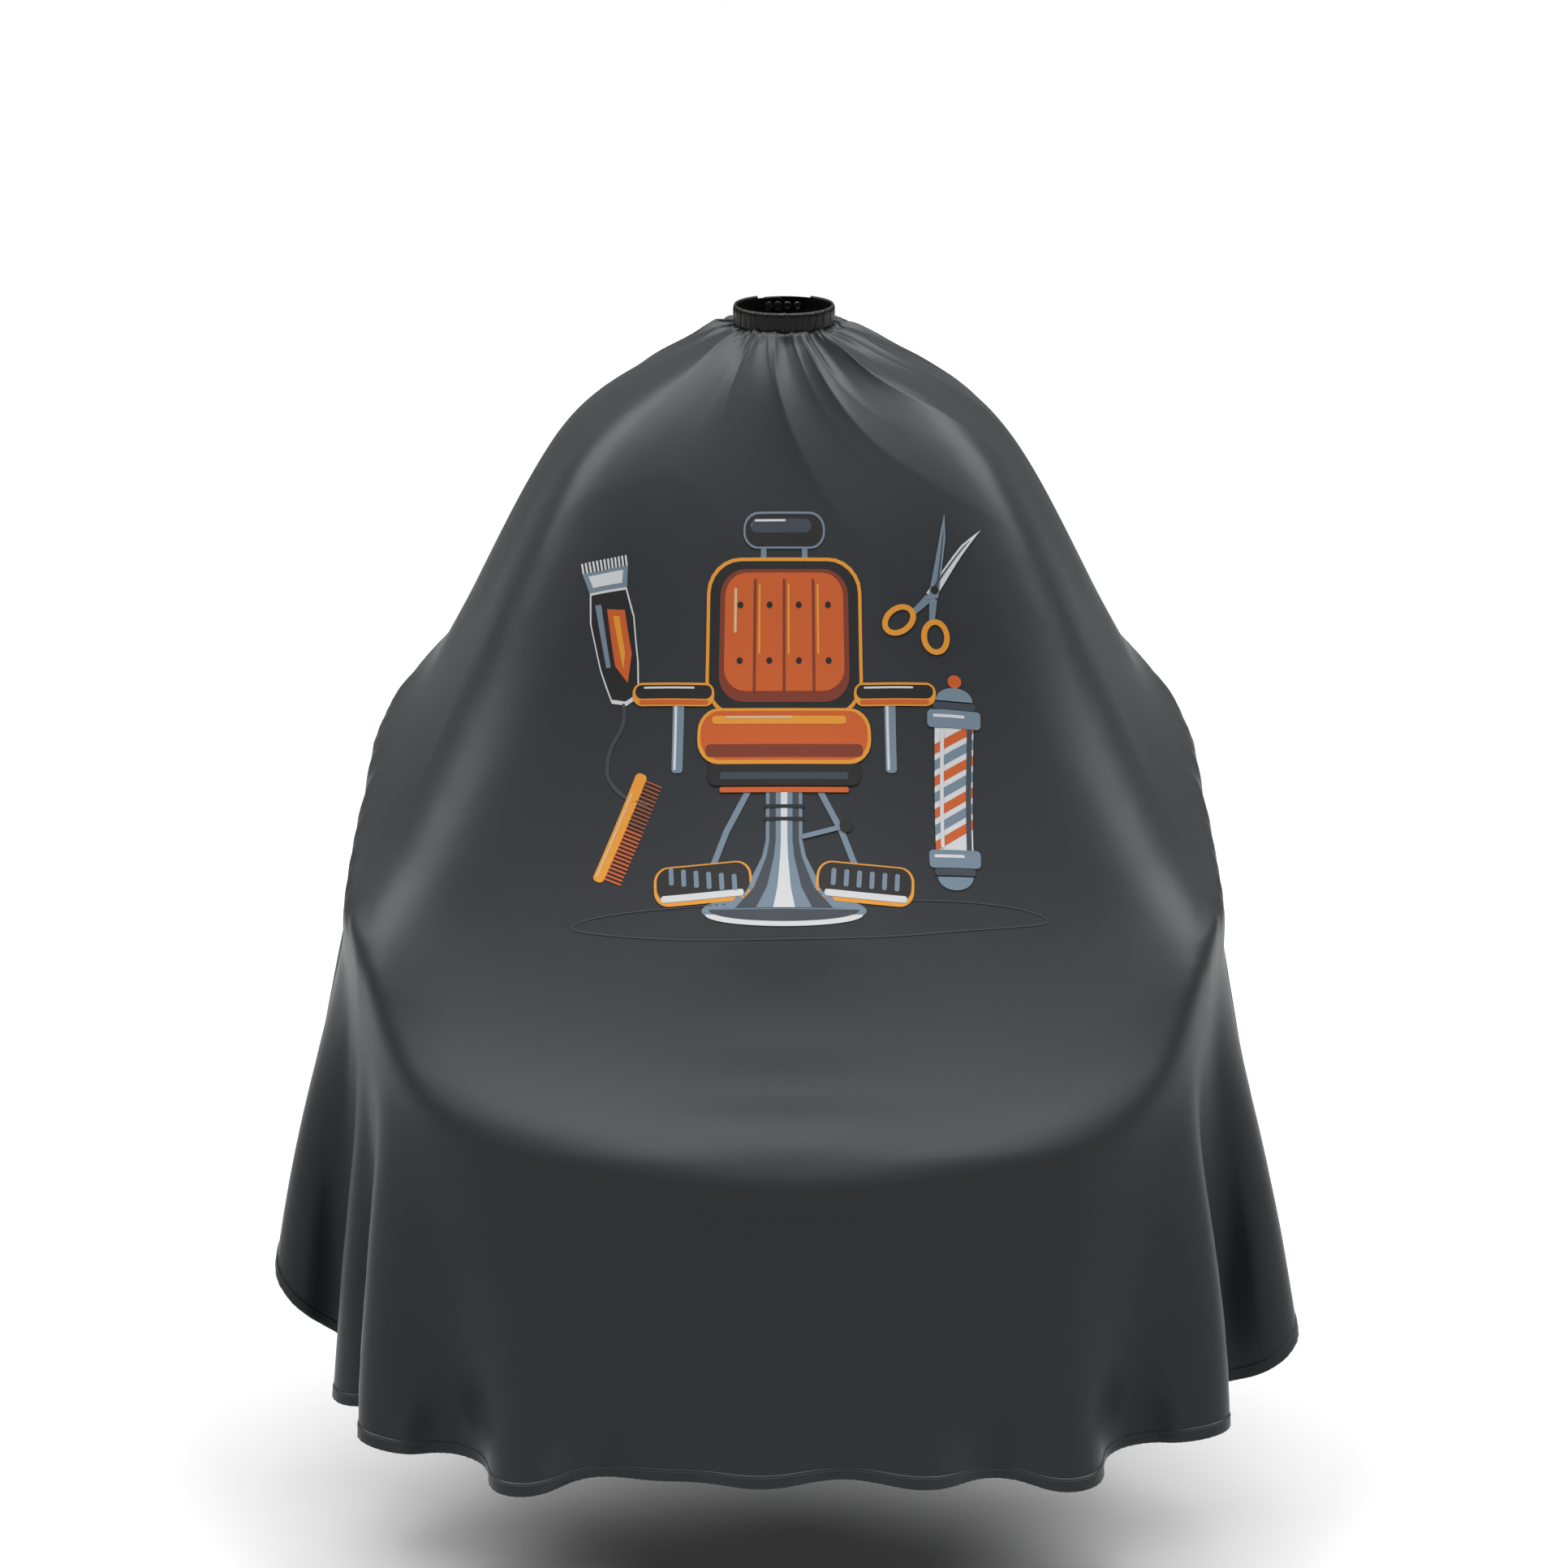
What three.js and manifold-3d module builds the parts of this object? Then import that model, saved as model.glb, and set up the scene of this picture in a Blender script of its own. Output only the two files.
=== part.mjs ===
// Barber cape with an elastic neckband, shown as it hangs on a seated customer.
// Millimetres, +Z up, the front of the cape faces -Y. The origin is the centre of the neck opening,
// at the seam between neckband and cape.
import * as THREE from 'three';
import { mergeVertices } from 'three/addons/utils/BufferGeometryUtils.js';
import Module from 'manifold-3d';

const wasm = await Module();
wasm.setup();

const deg = THREE.MathUtils.degToRad;

// ---- driving dimensions -------------------------------------------------------------------------

const GAP = 0.3; // between pieces that are sewn or seated against each other

// neckband
const NECK_HALF_WIDTH = 55.6; // centre line of the band, left to right
const NECK_HALF_DEPTH = 58; // centre line of the band, front to back
const NECK_TILT = deg(8.5); // the band dips towards the throat
const BAND_HEIGHT = 26;
const BAND_THICKNESS = 3.8;
const BAND_WALL = 0.9; // the gathered cloth on each side of the elastic
const BAND_END_ANGLE = deg(146); // both ends of the casing, measured from the front
const BAND_STEPS = 48;
const ELASTIC_THICKNESS = BAND_THICKNESS - 2 * (BAND_WALL + GAP);
const BAND_HEM = 2; // stitched edge above and below the elastic
const PIPING_RADIUS = 1;

// closure at the nape
const TAB_HEIGHT = 20;
const TAB_THICKNESS = 1.4;
const TAB_LAP = deg(4); // the closure tab is sewn this far onto the casing
const CLOSURE_TAB_END = deg(207); // angle from the front, past the middle of the back
const STUD_TAB_END = deg(182); // the stud tab comes from the other end of the casing
const TAB_STEPS = 20;
const SNAP_PITCH = deg(12);
const FIRST_SNAP = deg(200); // the snap nearest the free end of the closure tab
const STUD_COUNT = 2;
const SOCKET_COUNT = 4;
const CAP_RADIUS = 5;
const CAP_THICKNESS = 0.9;
const POST_RADIUS = 1.3;
const SNAP_FLANGE_RADIUS = 4.4;
const SNAP_FLANGE = 0.4;
const SOCKET_HEIGHT = 1.4;
const SOCKET_FLOOR = 0.4;
const KNOB_RADIUS = 2.1;
const KNOB_CLEARANCE = 0.6;
const SNAP_SIDES = 16;

// cape cloth
const CLOTH = 1.6;
const COLLAR_SEAM = 5; // flat part of the cloth under the band and its piping
const HEM_WIDTH = 12;
const HEM_THICKNESS = 2.6;
const SLIT_OPENS = 3.5; // each side of the back slit, from the nape to the back hem
const SLIT_HEM_WIDTH = 10;
const SLIT_ANGLE = deg(165); // where the cloth beside the slit leaves the neckband
const RIM_ROUND = 22; // how far the cloth stands out past a knee or an armrest
const RIM_DROP = 62;
const HEM_FLARE = 28; // and how much further out its hem hangs
const FLUTE_DEPTH = 13;
const FLUTES = 9;
const CLOTH_COLUMNS = 84;
const CLOTH_ROWS = 20;

// the seated form under the cape: half width, forward distance and drop below the neck seam
const KNEE_FORWARD = 536;
const KNEE_DROP = 842;
const KNEE_HALF_WIDTH = 265;
const KNEE_SIDE_BACK = 20; // the side of a knee, behind and above its middle
const KNEE_SIDE_RISE = 34;
const LAP_HALF_WIDTH = 362;
const LAP_BACK = 60; // the outside of a thigh, in the same way
const LAP_RISE = 80;
const CUFF_IN = 38; // the cloth between thigh and hand, inside and below the hand
const CUFF_DROP = 36;
const HAND_HALF_WIDTH = 470;
const HAND_FORWARD = 288;
const HAND_DROP = 606;
const ELBOW_HALF_WIDTH = 468;
const ELBOW_DROP = 500;
const SHOULDER_HALF_WIDTH = 222;
const BACK_DEPTH = 136;
const SHOULDER_BULGE = 6; // the shoulder blades stand out behind the slit by this
const ELBOW_BEHIND = [0.88, 100, 0.84]; // behind the elbow: share of its width, depth, share of its drop
const YOKE_RISE = 70; // the cloth beside the slit leaves the back this far above its hem
const SHOULDER_RISE = 20;

// hem heights below the neck seam
const FRONT_HEM = 1142;
const CORNER_HEM = 1220;
const FOREARM_HEM = 920;
const ELBOW_HEM = 680;
const BEHIND_ELBOW_HEM = 560;
const SHOULDER_HEM = 322;
const BACK_HEM = 232;
const CORNER_TUCK = 40; // how far the hem folds in between the front and the corner

const CLOTH_COLOR = 0x2a2e31;
const BAND_COLOR = 0x151713;
const SNAP_COLOR = 0x101012;

// ---- materials ----------------------------------------------------------------------------------

function material(color, roughness, metalness = 0) {
  return new THREE.MeshStandardMaterial({ color, roughness, metalness });
}

const clothMaterial = () => material(CLOTH_COLOR, 0.45);
const bandMaterial = () => material(BAND_COLOR, 0.35);
const elasticMaterial = () => material(0x1c1c1c, 0.8);
const snapMaterial = () => material(SNAP_COLOR, 0.2);

function piece(name, geometry, meshMaterial) {
  const mesh = new THREE.Mesh(geometry, meshMaterial);
  mesh.name = name;
  return mesh;
}

// ---- boolean cuts -------------------------------------------------------------------------------

function toManifold(geometry) {
  const bare = geometry.clone();
  bare.deleteAttribute('normal');
  bare.deleteAttribute('uv');
  const merged = mergeVertices(bare, 1e-4);
  const vertProperties = new Float32Array(merged.attributes.position.array);
  const triVerts = new Uint32Array(merged.index.array);
  return new wasm.Manifold(new wasm.Mesh({ numProp: 3, vertProperties, triVerts }));
}

function fromManifold(solid) {
  const mesh = solid.getMesh();
  const geometry = new THREE.BufferGeometry();
  geometry.setAttribute('position', new THREE.BufferAttribute(mesh.vertProperties, 3));
  geometry.setIndex(new THREE.BufferAttribute(mesh.triVerts, 1));
  geometry.computeVertexNormals();
  return geometry;
}

function cutHoles(geometry, holes) {
  let solid = toManifold(geometry);
  for (const hole of holes) {
    solid = solid.subtract(toManifold(hole));
  }
  return fromManifold(solid);
}

// ---- neckband: sections swept round the neck ----------------------------------------------------

// The centre line of the band in the neck plane. Angle 0 is the front, 180 degrees is the nape.
class NeckLine extends THREE.Curve {
  constructor(startAngle, endAngle) {
    super();
    this.startAngle = startAngle;
    this.endAngle = endAngle;
  }

  getPoint(t, target = new THREE.Vector3()) {
    const angle = THREE.MathUtils.lerp(this.startAngle, this.endAngle, t);
    return target.set(NECK_HALF_WIDTH * Math.sin(angle), -NECK_HALF_DEPTH * Math.cos(angle), 0);
  }
}

// Sweeps a rectangle given by its outward and upward limits; hollow is a second such rectangle.
function sweepBand({ outward, upward, hollow }, startAngle, endAngle, steps) {
  const loop = ([near, far], [low, high]) => [
    new THREE.Vector2(-low, -near),
    new THREE.Vector2(-high, -near),
    new THREE.Vector2(-high, -far),
    new THREE.Vector2(-low, -far),
  ];
  const shape = new THREE.Shape(loop(outward, upward));
  if (hollow) {
    shape.holes.push(new THREE.Path(loop(hollow.outward, hollow.upward)));
  }
  const extrudePath = new NeckLine(startAngle, endAngle);
  return new THREE.ExtrudeGeometry(shape, { steps, bevelEnabled: false, extrudePath });
}

function neckbandCasing() {
  const half = BAND_THICKNESS / 2;
  const inner = half - BAND_WALL;
  const section = {
    outward: [-half, half],
    upward: [0, BAND_HEIGHT],
    hollow: { outward: [-inner, inner], upward: [BAND_HEM, BAND_HEIGHT - BAND_HEM] },
  };
  const sweep = sweepBand(section, -BAND_END_ANGLE, BAND_END_ANGLE, BAND_STEPS);
  return piece('neckband_casing', sweep, bandMaterial());
}

function neckElastic() {
  const half = ELASTIC_THICKNESS / 2;
  const section = {
    outward: [-half, half],
    upward: [BAND_HEM + GAP, BAND_HEIGHT - BAND_HEM - GAP],
  };
  const sweep = sweepBand(section, -BAND_END_ANGLE, BAND_END_ANGLE, BAND_STEPS);
  return piece('neck_elastic', sweep, elasticMaterial());
}

function neckPiping() {
  const shape = new THREE.Shape();
  const outward = BAND_THICKNESS / 2 + GAP + PIPING_RADIUS;
  shape.absarc(-PIPING_RADIUS, -outward, PIPING_RADIUS, 0, 2 * Math.PI);
  const extrudePath = new NeckLine(-BAND_END_ANGLE, BAND_END_ANGLE);
  const settings = { steps: BAND_STEPS, curveSegments: 8, bevelEnabled: false, extrudePath };
  return piece('neck_piping', new THREE.ExtrudeGeometry(shape, settings), bandMaterial());
}

// ---- closure tabs and snaps ---------------------------------------------------------------------

const TAB_LOW = (BAND_HEIGHT - TAB_HEIGHT) / 2;
const SNAP_HEIGHT = BAND_HEIGHT / 2;
const CLOSURE_TAB_INNER = BAND_THICKNESS / 2 + GAP;
const STUD_TAB_INNER = -BAND_THICKNESS / 2;
const STUD_TAB_OUTER = STUD_TAB_INNER + TAB_THICKNESS;

// Stands a lathed snap piece on the band: its own +Y points outwards from the neck.
function placeOnBand(mesh, angle, outward) {
  const middle = new NeckLine(angle, angle).getPoint(0);
  const normal = new THREE.Vector3(
    Math.sin(angle) / NECK_HALF_WIDTH,
    -Math.cos(angle) / NECK_HALF_DEPTH,
    0,
  ).normalize();
  mesh.position.copy(middle).addScaledVector(normal, outward);
  mesh.position.z = SNAP_HEIGHT;
  mesh.quaternion.setFromUnitVectors(new THREE.Vector3(0, 1, 0), normal);
  return mesh;
}

function lathe(points) {
  const profile = points.map(([radius, height]) => new THREE.Vector2(radius, height));
  return new THREE.LatheGeometry(profile, SNAP_SIDES);
}

// A domed cap whose post goes through the cloth. The dome is on the +Y side unless it is flipped.
function capGeometry() {
  const post = TAB_THICKNESS + GAP;
  return lathe([
    [0, -post],
    [POST_RADIUS, -post],
    [POST_RADIUS, 0],
    [CAP_RADIUS, 0],
    [CAP_RADIUS, CAP_THICKNESS * 0.4],
    [CAP_RADIUS * 0.8, CAP_THICKNESS * 0.85],
    [0, CAP_THICKNESS],
  ]);
}

function socketGeometry() {
  const mouth = KNOB_RADIUS + KNOB_CLEARANCE;
  return lathe([
    [0, -SOCKET_FLOOR],
    [mouth, -SOCKET_FLOOR],
    [mouth, -SOCKET_HEIGHT],
    [SNAP_FLANGE_RADIUS, -SOCKET_HEIGHT],
    [SNAP_FLANGE_RADIUS, 0],
    [0, 0],
  ]);
}

function studGeometry() {
  const knobTop = SNAP_FLANGE + GAP + SOCKET_HEIGHT - SOCKET_FLOOR - GAP;
  return lathe([
    [0, 0],
    [SNAP_FLANGE_RADIUS, 0],
    [SNAP_FLANGE_RADIUS, SNAP_FLANGE],
    [KNOB_RADIUS * 0.85, SNAP_FLANGE],
    [KNOB_RADIUS, knobTop * 0.7],
    [KNOB_RADIUS * 0.7, knobTop],
    [0, knobTop],
  ]);
}

const snapAngle = (index) => FIRST_SNAP - index * SNAP_PITCH;

function postHole(angle) {
  const hole = new THREE.CylinderGeometry(POST_RADIUS + GAP, POST_RADIUS + GAP, 20, SNAP_SIDES);
  const mesh = placeOnBand(new THREE.Mesh(hole), angle, 0);
  mesh.updateMatrix();
  return hole.applyMatrix4(mesh.matrix);
}

function tab(name, inner, startAngle, endAngle, snapCount) {
  const section = {
    outward: [inner, inner + TAB_THICKNESS],
    upward: [TAB_LOW, TAB_LOW + TAB_HEIGHT],
  };
  const strip = sweepBand(section, startAngle, endAngle, TAB_STEPS);
  const holes = [];
  for (let index = 0; index < snapCount; index += 1) {
    holes.push(postHole(snapAngle(index)));
  }
  return piece(name, cutHoles(strip, holes), bandMaterial());
}

function closureTab() {
  const start = BAND_END_ANGLE - TAB_LAP;
  return tab('closure_tab', CLOSURE_TAB_INNER, start, CLOSURE_TAB_END, SOCKET_COUNT);
}

function studTab() {
  const start = 2 * Math.PI - BAND_END_ANGLE - GAP / NECK_HALF_WIDTH;
  return tab('stud_tab', STUD_TAB_INNER, STUD_TAB_END, start, STUD_COUNT);
}

function snapPieces() {
  const pieces = [];
  for (let index = 0; index < SOCKET_COUNT; index += 1) {
    const angle = snapAngle(index);
    const socket = piece(`snap_socket_${index + 1}`, socketGeometry(), snapMaterial());
    pieces.push(placeOnBand(socket, angle, CLOSURE_TAB_INNER - GAP));
    const cap = piece(`socket_cap_${index + 1}`, capGeometry(), snapMaterial());
    pieces.push(placeOnBand(cap, angle, CLOSURE_TAB_INNER + TAB_THICKNESS + GAP));
  }
  for (let index = 0; index < STUD_COUNT; index += 1) {
    const angle = snapAngle(index);
    const stud = piece(`snap_stud_${index + 1}`, studGeometry(), snapMaterial());
    pieces.push(placeOnBand(stud, angle, STUD_TAB_OUTER + GAP));
    const flipped = capGeometry().rotateX(Math.PI);
    const cap = piece(`stud_cap_${index + 1}`, flipped, snapMaterial());
    pieces.push(placeOnBand(cap, angle, STUD_TAB_INNER - GAP));
  }
  return pieces;
}

// ---- cape cloth: lofted over the seated form ----------------------------------------------------

// Share of the way out from neck to rim, and share of the drop, at four points of a section.
const CHEST_PROFILE = [[0.09, 0.085], [0.25, 0.29], [0.44, 0.56], [0.76, 0.85]];
const ARM_PROFILE = [[0.1, 0.03], [0.46, 0.22], [0.78, 0.67], [0.93, 0.89]];

// One section of the right half: where it leaves the neck, its rim on the seated form, how much it
// follows the arm and not the chest, and its hem.
const section = (degrees, rim, arm, hem, more = {}) => ({ angle: deg(degrees), rim, arm, hem, ...more });

function halfSections() {
  const lapForward = KNEE_FORWARD - LAP_BACK;
  const knee = [0, -KNEE_FORWARD, -KNEE_DROP];
  const kneeSide = [KNEE_HALF_WIDTH, KNEE_SIDE_BACK - KNEE_FORWARD, KNEE_SIDE_RISE - KNEE_DROP];
  const thigh = [LAP_HALF_WIDTH, -lapForward, LAP_RISE - KNEE_DROP];
  const cuff = [HAND_HALF_WIDTH - CUFF_IN, -(lapForward + HAND_FORWARD) / 2, -HAND_DROP - CUFF_DROP];
  const hand = [HAND_HALF_WIDTH, -HAND_FORWARD, -HAND_DROP];
  const forearm = [ELBOW_HALF_WIDTH, -HAND_FORWARD / 2, -(HAND_DROP + ELBOW_DROP) / 2];
  const elbow = [ELBOW_HALF_WIDTH, 0, -ELBOW_DROP];
  const [widthShare, depth, dropShare] = ELBOW_BEHIND;
  const behindElbow = [ELBOW_HALF_WIDTH * widthShare, depth, -ELBOW_DROP * dropShare];
  const shoulder = [SHOULDER_HALF_WIDTH, BACK_DEPTH + SHOULDER_BULGE, SHOULDER_RISE - BACK_HEM];
  const yoke = [0, BACK_DEPTH, YOKE_RISE - BACK_HEM];
  return [
    section(0, knee, 0, FRONT_HEM),
    section(24, kneeSide, 0.05, FRONT_HEM),
    section(38, thigh, 0.25, (FRONT_HEM + CORNER_HEM) / 2, { tuck: CORNER_TUCK }),
    section(50, cuff, 0.5, CORNER_HEM),
    section(60, hand, 0.75, CORNER_HEM),
    section(74, forearm, 0.9, FOREARM_HEM),
    section(90, elbow, 1, ELBOW_HEM),
    section(112, behindElbow, 1, BEHIND_ELBOW_HEM),
    section(140, shoulder, 1, SHOULDER_HEM),
    { ...section(0, yoke, 1, BACK_HEM, { slit: true }), angle: SLIT_ANGLE },
  ];
}

const inNeckPlane = (point) => point.applyAxisAngle(new THREE.Vector3(1, 0, 0), NECK_TILT);

function sectionPoints({ angle, rim: onForm, arm, hem: hemDrop, slit, tuck = 0 }) {
  const neck = new NeckLine(angle, angle).getPoint(0);
  const seamDrop = -(GAP + CLOTH / 2);
  const outward = neck.clone().normalize();
  const seam = [-1, COLLAR_SEAM].map((reach) => {
    const point = neck.clone().addScaledVector(outward, reach);
    point.z = seamDrop;
    return inNeckPlane(point);
  });
  const rim = new THREE.Vector3(...onForm);
  if (slit) {
    rim.x = seam[1].x + SLIT_OPENS;
  }
  const start = seam[1];
  const between = CHEST_PROFILE.map(([chestOut, chestDown], index) => {
    const [armOut, armDown] = ARM_PROFILE[index];
    const out = THREE.MathUtils.lerp(chestOut, armOut, arm);
    const down = THREE.MathUtils.lerp(chestDown, armDown, arm);
    return new THREE.Vector3(
      THREE.MathUtils.lerp(start.x, rim.x, out),
      THREE.MathUtils.lerp(start.y, rim.y, out),
      THREE.MathUtils.lerp(start.z, rim.z, down),
    );
  });
  const away = slit ? new THREE.Vector3(0, 1, 0) : rim.clone().setZ(0).normalize();
  const drop = Math.min(RIM_DROP, (hemDrop + rim.z) / 2);
  const flare = slit ? 0 : HEM_FLARE;
  const over = rim.clone().addScaledVector(away, RIM_ROUND);
  over.z -= drop;
  const hem = over.clone().addScaledVector(away, flare - tuck);
  hem.z = -hemDrop;
  return [...seam, ...between, rim, over, hem];
}

const mirrored = (point) => new THREE.Vector3(-point.x, point.y, point.z);

// Curves that run round the cape from one side of the slit to the other, one for each point of a
// section. All have the same number of control points, so one parameter means one section.
function roundTheCape() {
  const right = halfSections().map(sectionPoints);
  const left = right.slice(1).reverse().map((points) => points.map(mirrored));
  const sections = [...left, ...right];
  return sections[0].map((_, row) => new THREE.CatmullRomCurve3(sections.map((points) => points[row])));
}

const roundCurves = roundTheCape();

// One thread line of the cloth from neck to hem, as a curve with even spacing.
function dropLine(u) {
  const points = roundCurves.map((curve) => curve.getPoint(u));
  const hem = points.at(-1);
  const rim = points.at(-2);
  const hang = THREE.MathUtils.clamp((rim.z - hem.z) / (FRONT_HEM - KNEE_DROP), 0, 1);
  const away = hem.clone().setZ(0).normalize();
  hem.addScaledVector(away, FLUTE_DEPTH * hang * Math.cos(2 * Math.PI * FLUTES * u));
  return new THREE.CatmullRomCurve3(points);
}

function gridOfCloth() {
  const sheetRows = [];
  const hemRows = [];
  for (let column = 0; column <= CLOTH_COLUMNS; column += 1) {
    const line = dropLine(column / CLOTH_COLUMNS);
    const length = line.getLength();
    const sheetEnd = 1 - (HEM_WIDTH + GAP) / length;
    const hemStart = 1 - HEM_WIDTH / length;
    const sheetLine = [];
    for (let row = 0; row <= CLOTH_ROWS; row += 1) {
      sheetLine.push(line.getPointAt((sheetEnd * row) / CLOTH_ROWS));
    }
    sheetRows.push(sheetLine);
    hemRows.push([line.getPointAt(hemStart), line.getPointAt(1)]);
  }
  return { sheetRows, hemRows };
}

function gridNormal(grid, column, row) {
  const columns = grid.length - 1;
  const rows = grid[0].length - 1;
  const across = grid[Math.min(column + 1, columns)][row].clone();
  across.sub(grid[Math.max(column - 1, 0)][row]);
  const down = grid[column][Math.min(row + 1, rows)].clone();
  down.sub(grid[column][Math.max(row - 1, 0)]);
  return across.cross(down).normalize().negate();
}

// Gives a grid of points a thickness and closes it along its four edges.
function thicken(grid, thickness, startNormal) {
  const columns = grid.length;
  const rows = grid[0].length;
  const positions = [];
  for (const side of [0.5, -0.5]) {
    grid.forEach((line, column) => {
      line.forEach((point, row) => {
        const flat = startNormal && row < 2;
        const normal = flat ? startNormal : gridNormal(grid, column, row);
        positions.push(...point.clone().addScaledVector(normal, side * thickness));
      });
    });
  }
  const at = (side, column, row) => (side * columns + column) * rows + row;
  const index = [];
  const quad = (a, b, c, d) => index.push(a, b, c, a, c, d);
  for (let column = 0; column + 1 < columns; column += 1) {
    for (let row = 0; row + 1 < rows; row += 1) {
      quad(at(0, column, row), at(0, column, row + 1), at(0, column + 1, row + 1), at(0, column + 1, row));
      quad(at(1, column, row), at(1, column + 1, row), at(1, column + 1, row + 1), at(1, column, row + 1));
    }
    const last = rows - 1;
    quad(at(0, column, 0), at(0, column + 1, 0), at(1, column + 1, 0), at(1, column, 0));
    quad(at(0, column, last), at(1, column, last), at(1, column + 1, last), at(0, column + 1, last));
  }
  const last = columns - 1;
  for (let row = 0; row + 1 < rows; row += 1) {
    quad(at(0, 0, row), at(1, 0, row), at(1, 0, row + 1), at(0, 0, row + 1));
    quad(at(0, last, row), at(0, last, row + 1), at(1, last, row + 1), at(1, last, row));
  }
  const geometry = new THREE.BufferGeometry();
  geometry.setAttribute('position', new THREE.Float32BufferAttribute(positions, 3));
  geometry.setIndex(index);
  geometry.computeVertexNormals();
  return geometry;
}

function capeCloth() {
  const { sheetRows, hemRows } = gridOfCloth();
  const collarNormal = inNeckPlane(new THREE.Vector3(0, 0, 1));
  return [
    piece('cape_sheet', thicken(sheetRows, CLOTH, collarNormal), clothMaterial()),
    piece('hem_fold', thicken(hemRows, HEM_THICKNESS), clothMaterial()),
  ];
}

// The stitched facing along one edge of the back slit, beside the cloth's last thread line.
function slitHem(name, side) {
  const edge = dropLine(side > 0 ? 1 : 0);
  const grid = [];
  for (const across of [0, 1]) {
    const line = [];
    for (let row = 0; row <= CLOTH_ROWS; row += 1) {
      const point = edge.getPointAt(row / CLOTH_ROWS);
      point.x -= side * (GAP + across * SLIT_HEM_WIDTH);
      line.push(point);
    }
    grid.push(line);
  }
  if (side > 0) {
    grid.reverse();
  }
  return piece(name, thicken(grid, HEM_THICKNESS), clothMaterial());
}

// ---- the cape -----------------------------------------------------------------------------------

const neck = new THREE.Group();
neck.rotation.x = NECK_TILT;
neck.add(neckbandCasing(), neckElastic(), neckPiping(), closureTab(), studTab(), ...snapPieces());

const cape = new THREE.Group();
cape.add(...capeCloth(), slitHem('slit_hem_left', 1), slitHem('slit_hem_right', -1), neck);

export default cape;
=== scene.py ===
"""Barber cape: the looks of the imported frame. Metres, +Z up, the front of the cape faces -Y."""
import math

import bmesh
import bpy
import numpy as np
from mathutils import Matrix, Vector


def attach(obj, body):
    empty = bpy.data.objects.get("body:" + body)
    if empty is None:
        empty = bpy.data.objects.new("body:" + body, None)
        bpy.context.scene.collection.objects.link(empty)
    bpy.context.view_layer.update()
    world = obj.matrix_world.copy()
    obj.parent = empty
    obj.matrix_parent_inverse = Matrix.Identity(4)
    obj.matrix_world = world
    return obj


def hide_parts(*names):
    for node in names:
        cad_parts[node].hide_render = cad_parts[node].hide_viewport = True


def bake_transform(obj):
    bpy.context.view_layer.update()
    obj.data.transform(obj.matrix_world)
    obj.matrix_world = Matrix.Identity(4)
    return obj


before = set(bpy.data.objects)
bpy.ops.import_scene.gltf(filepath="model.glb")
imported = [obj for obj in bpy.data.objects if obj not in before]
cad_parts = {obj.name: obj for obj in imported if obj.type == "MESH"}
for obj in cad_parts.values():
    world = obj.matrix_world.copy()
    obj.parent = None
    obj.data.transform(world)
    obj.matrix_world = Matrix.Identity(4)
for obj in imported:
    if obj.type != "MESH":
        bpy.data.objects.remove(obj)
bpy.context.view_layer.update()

# ---- sizes shared with the CAD part -------------------------------------------------------------

NECK_HALF_WIDTH = 0.0556
NECK_HALF_DEPTH = 0.058
NECK_TILT = math.radians(8.5)
BAND_HEIGHT = 0.026
BAND_THICKNESS = 0.0038
BAND_END = math.radians(146)
GAP = 0.0003
PIPING_RADIUS = 0.001
TAB_HEIGHT = 0.020
TAB_THICKNESS = 0.0014
TAB_START = math.radians(142)
TAB_END = math.radians(207)
STUD_TAB_START = math.radians(182)
STUD_TAB_END = math.radians(213.7)
SNAP_ANGLES = [math.radians(200 - 12 * index) for index in range(4)]

# the seated form under the cape
KNEE_FORWARD, KNEE_DROP, KNEE_HALF_WIDTH = 0.536, 0.842, 0.265
KNEE_SIDE_BACK, KNEE_SIDE_RISE = 0.020, 0.034  # the side of a knee, behind and above its middle
LAP_HALF_WIDTH = 0.362
LAP_BACK, LAP_RISE = 0.060, 0.080  # the outside of a thigh, in the same way
CUFF_IN, CUFF_DROP = 0.038, 0.036  # the cloth between thigh and hand, inside and below the hand
HAND_HALF_WIDTH, HAND_FORWARD, HAND_DROP = 0.470, 0.288, 0.606
ELBOW_HALF_WIDTH, ELBOW_DROP = 0.468, 0.500
BEHIND_ELBOW = 0.100
SHOULDER_HALF_WIDTH, SHOULDER_BLADE_DROP, SHOULDER_BULGE = 0.222, 0.212, 0.006
BACK_DEPTH, BACK_DROP = 0.136, 0.162
BACK_HALF_WIDTH = 0.06

# ---- the flat cut -------------------------------------------------------------------------------

CUT_HALF_WIDTH = 0.83
CUT_FRONT = 1.35
CORNER_EASE = 0.09  # the cut is this much shorter between front and corner,
EASE_AT, EASE_WIDTH = 25, 7  # round this direction from the front, in degrees
CUT_BACK = 0.275
FRONT_CORNER = 0.36
BACK_CORNER = 0.15
NECK_HOLE = 0.066
SLIT_HALF_ANGLE = math.radians(2.5)
HEM = 0.012
COLUMNS = 280
ROWS = 76
ROW_GROWTH = 1.15


def smooth(edge0, edge1, x):
    t = np.clip((x - edge0) / (edge1 - edge0), 0, 1)
    return t * t * (3 - 2 * t)


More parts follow.
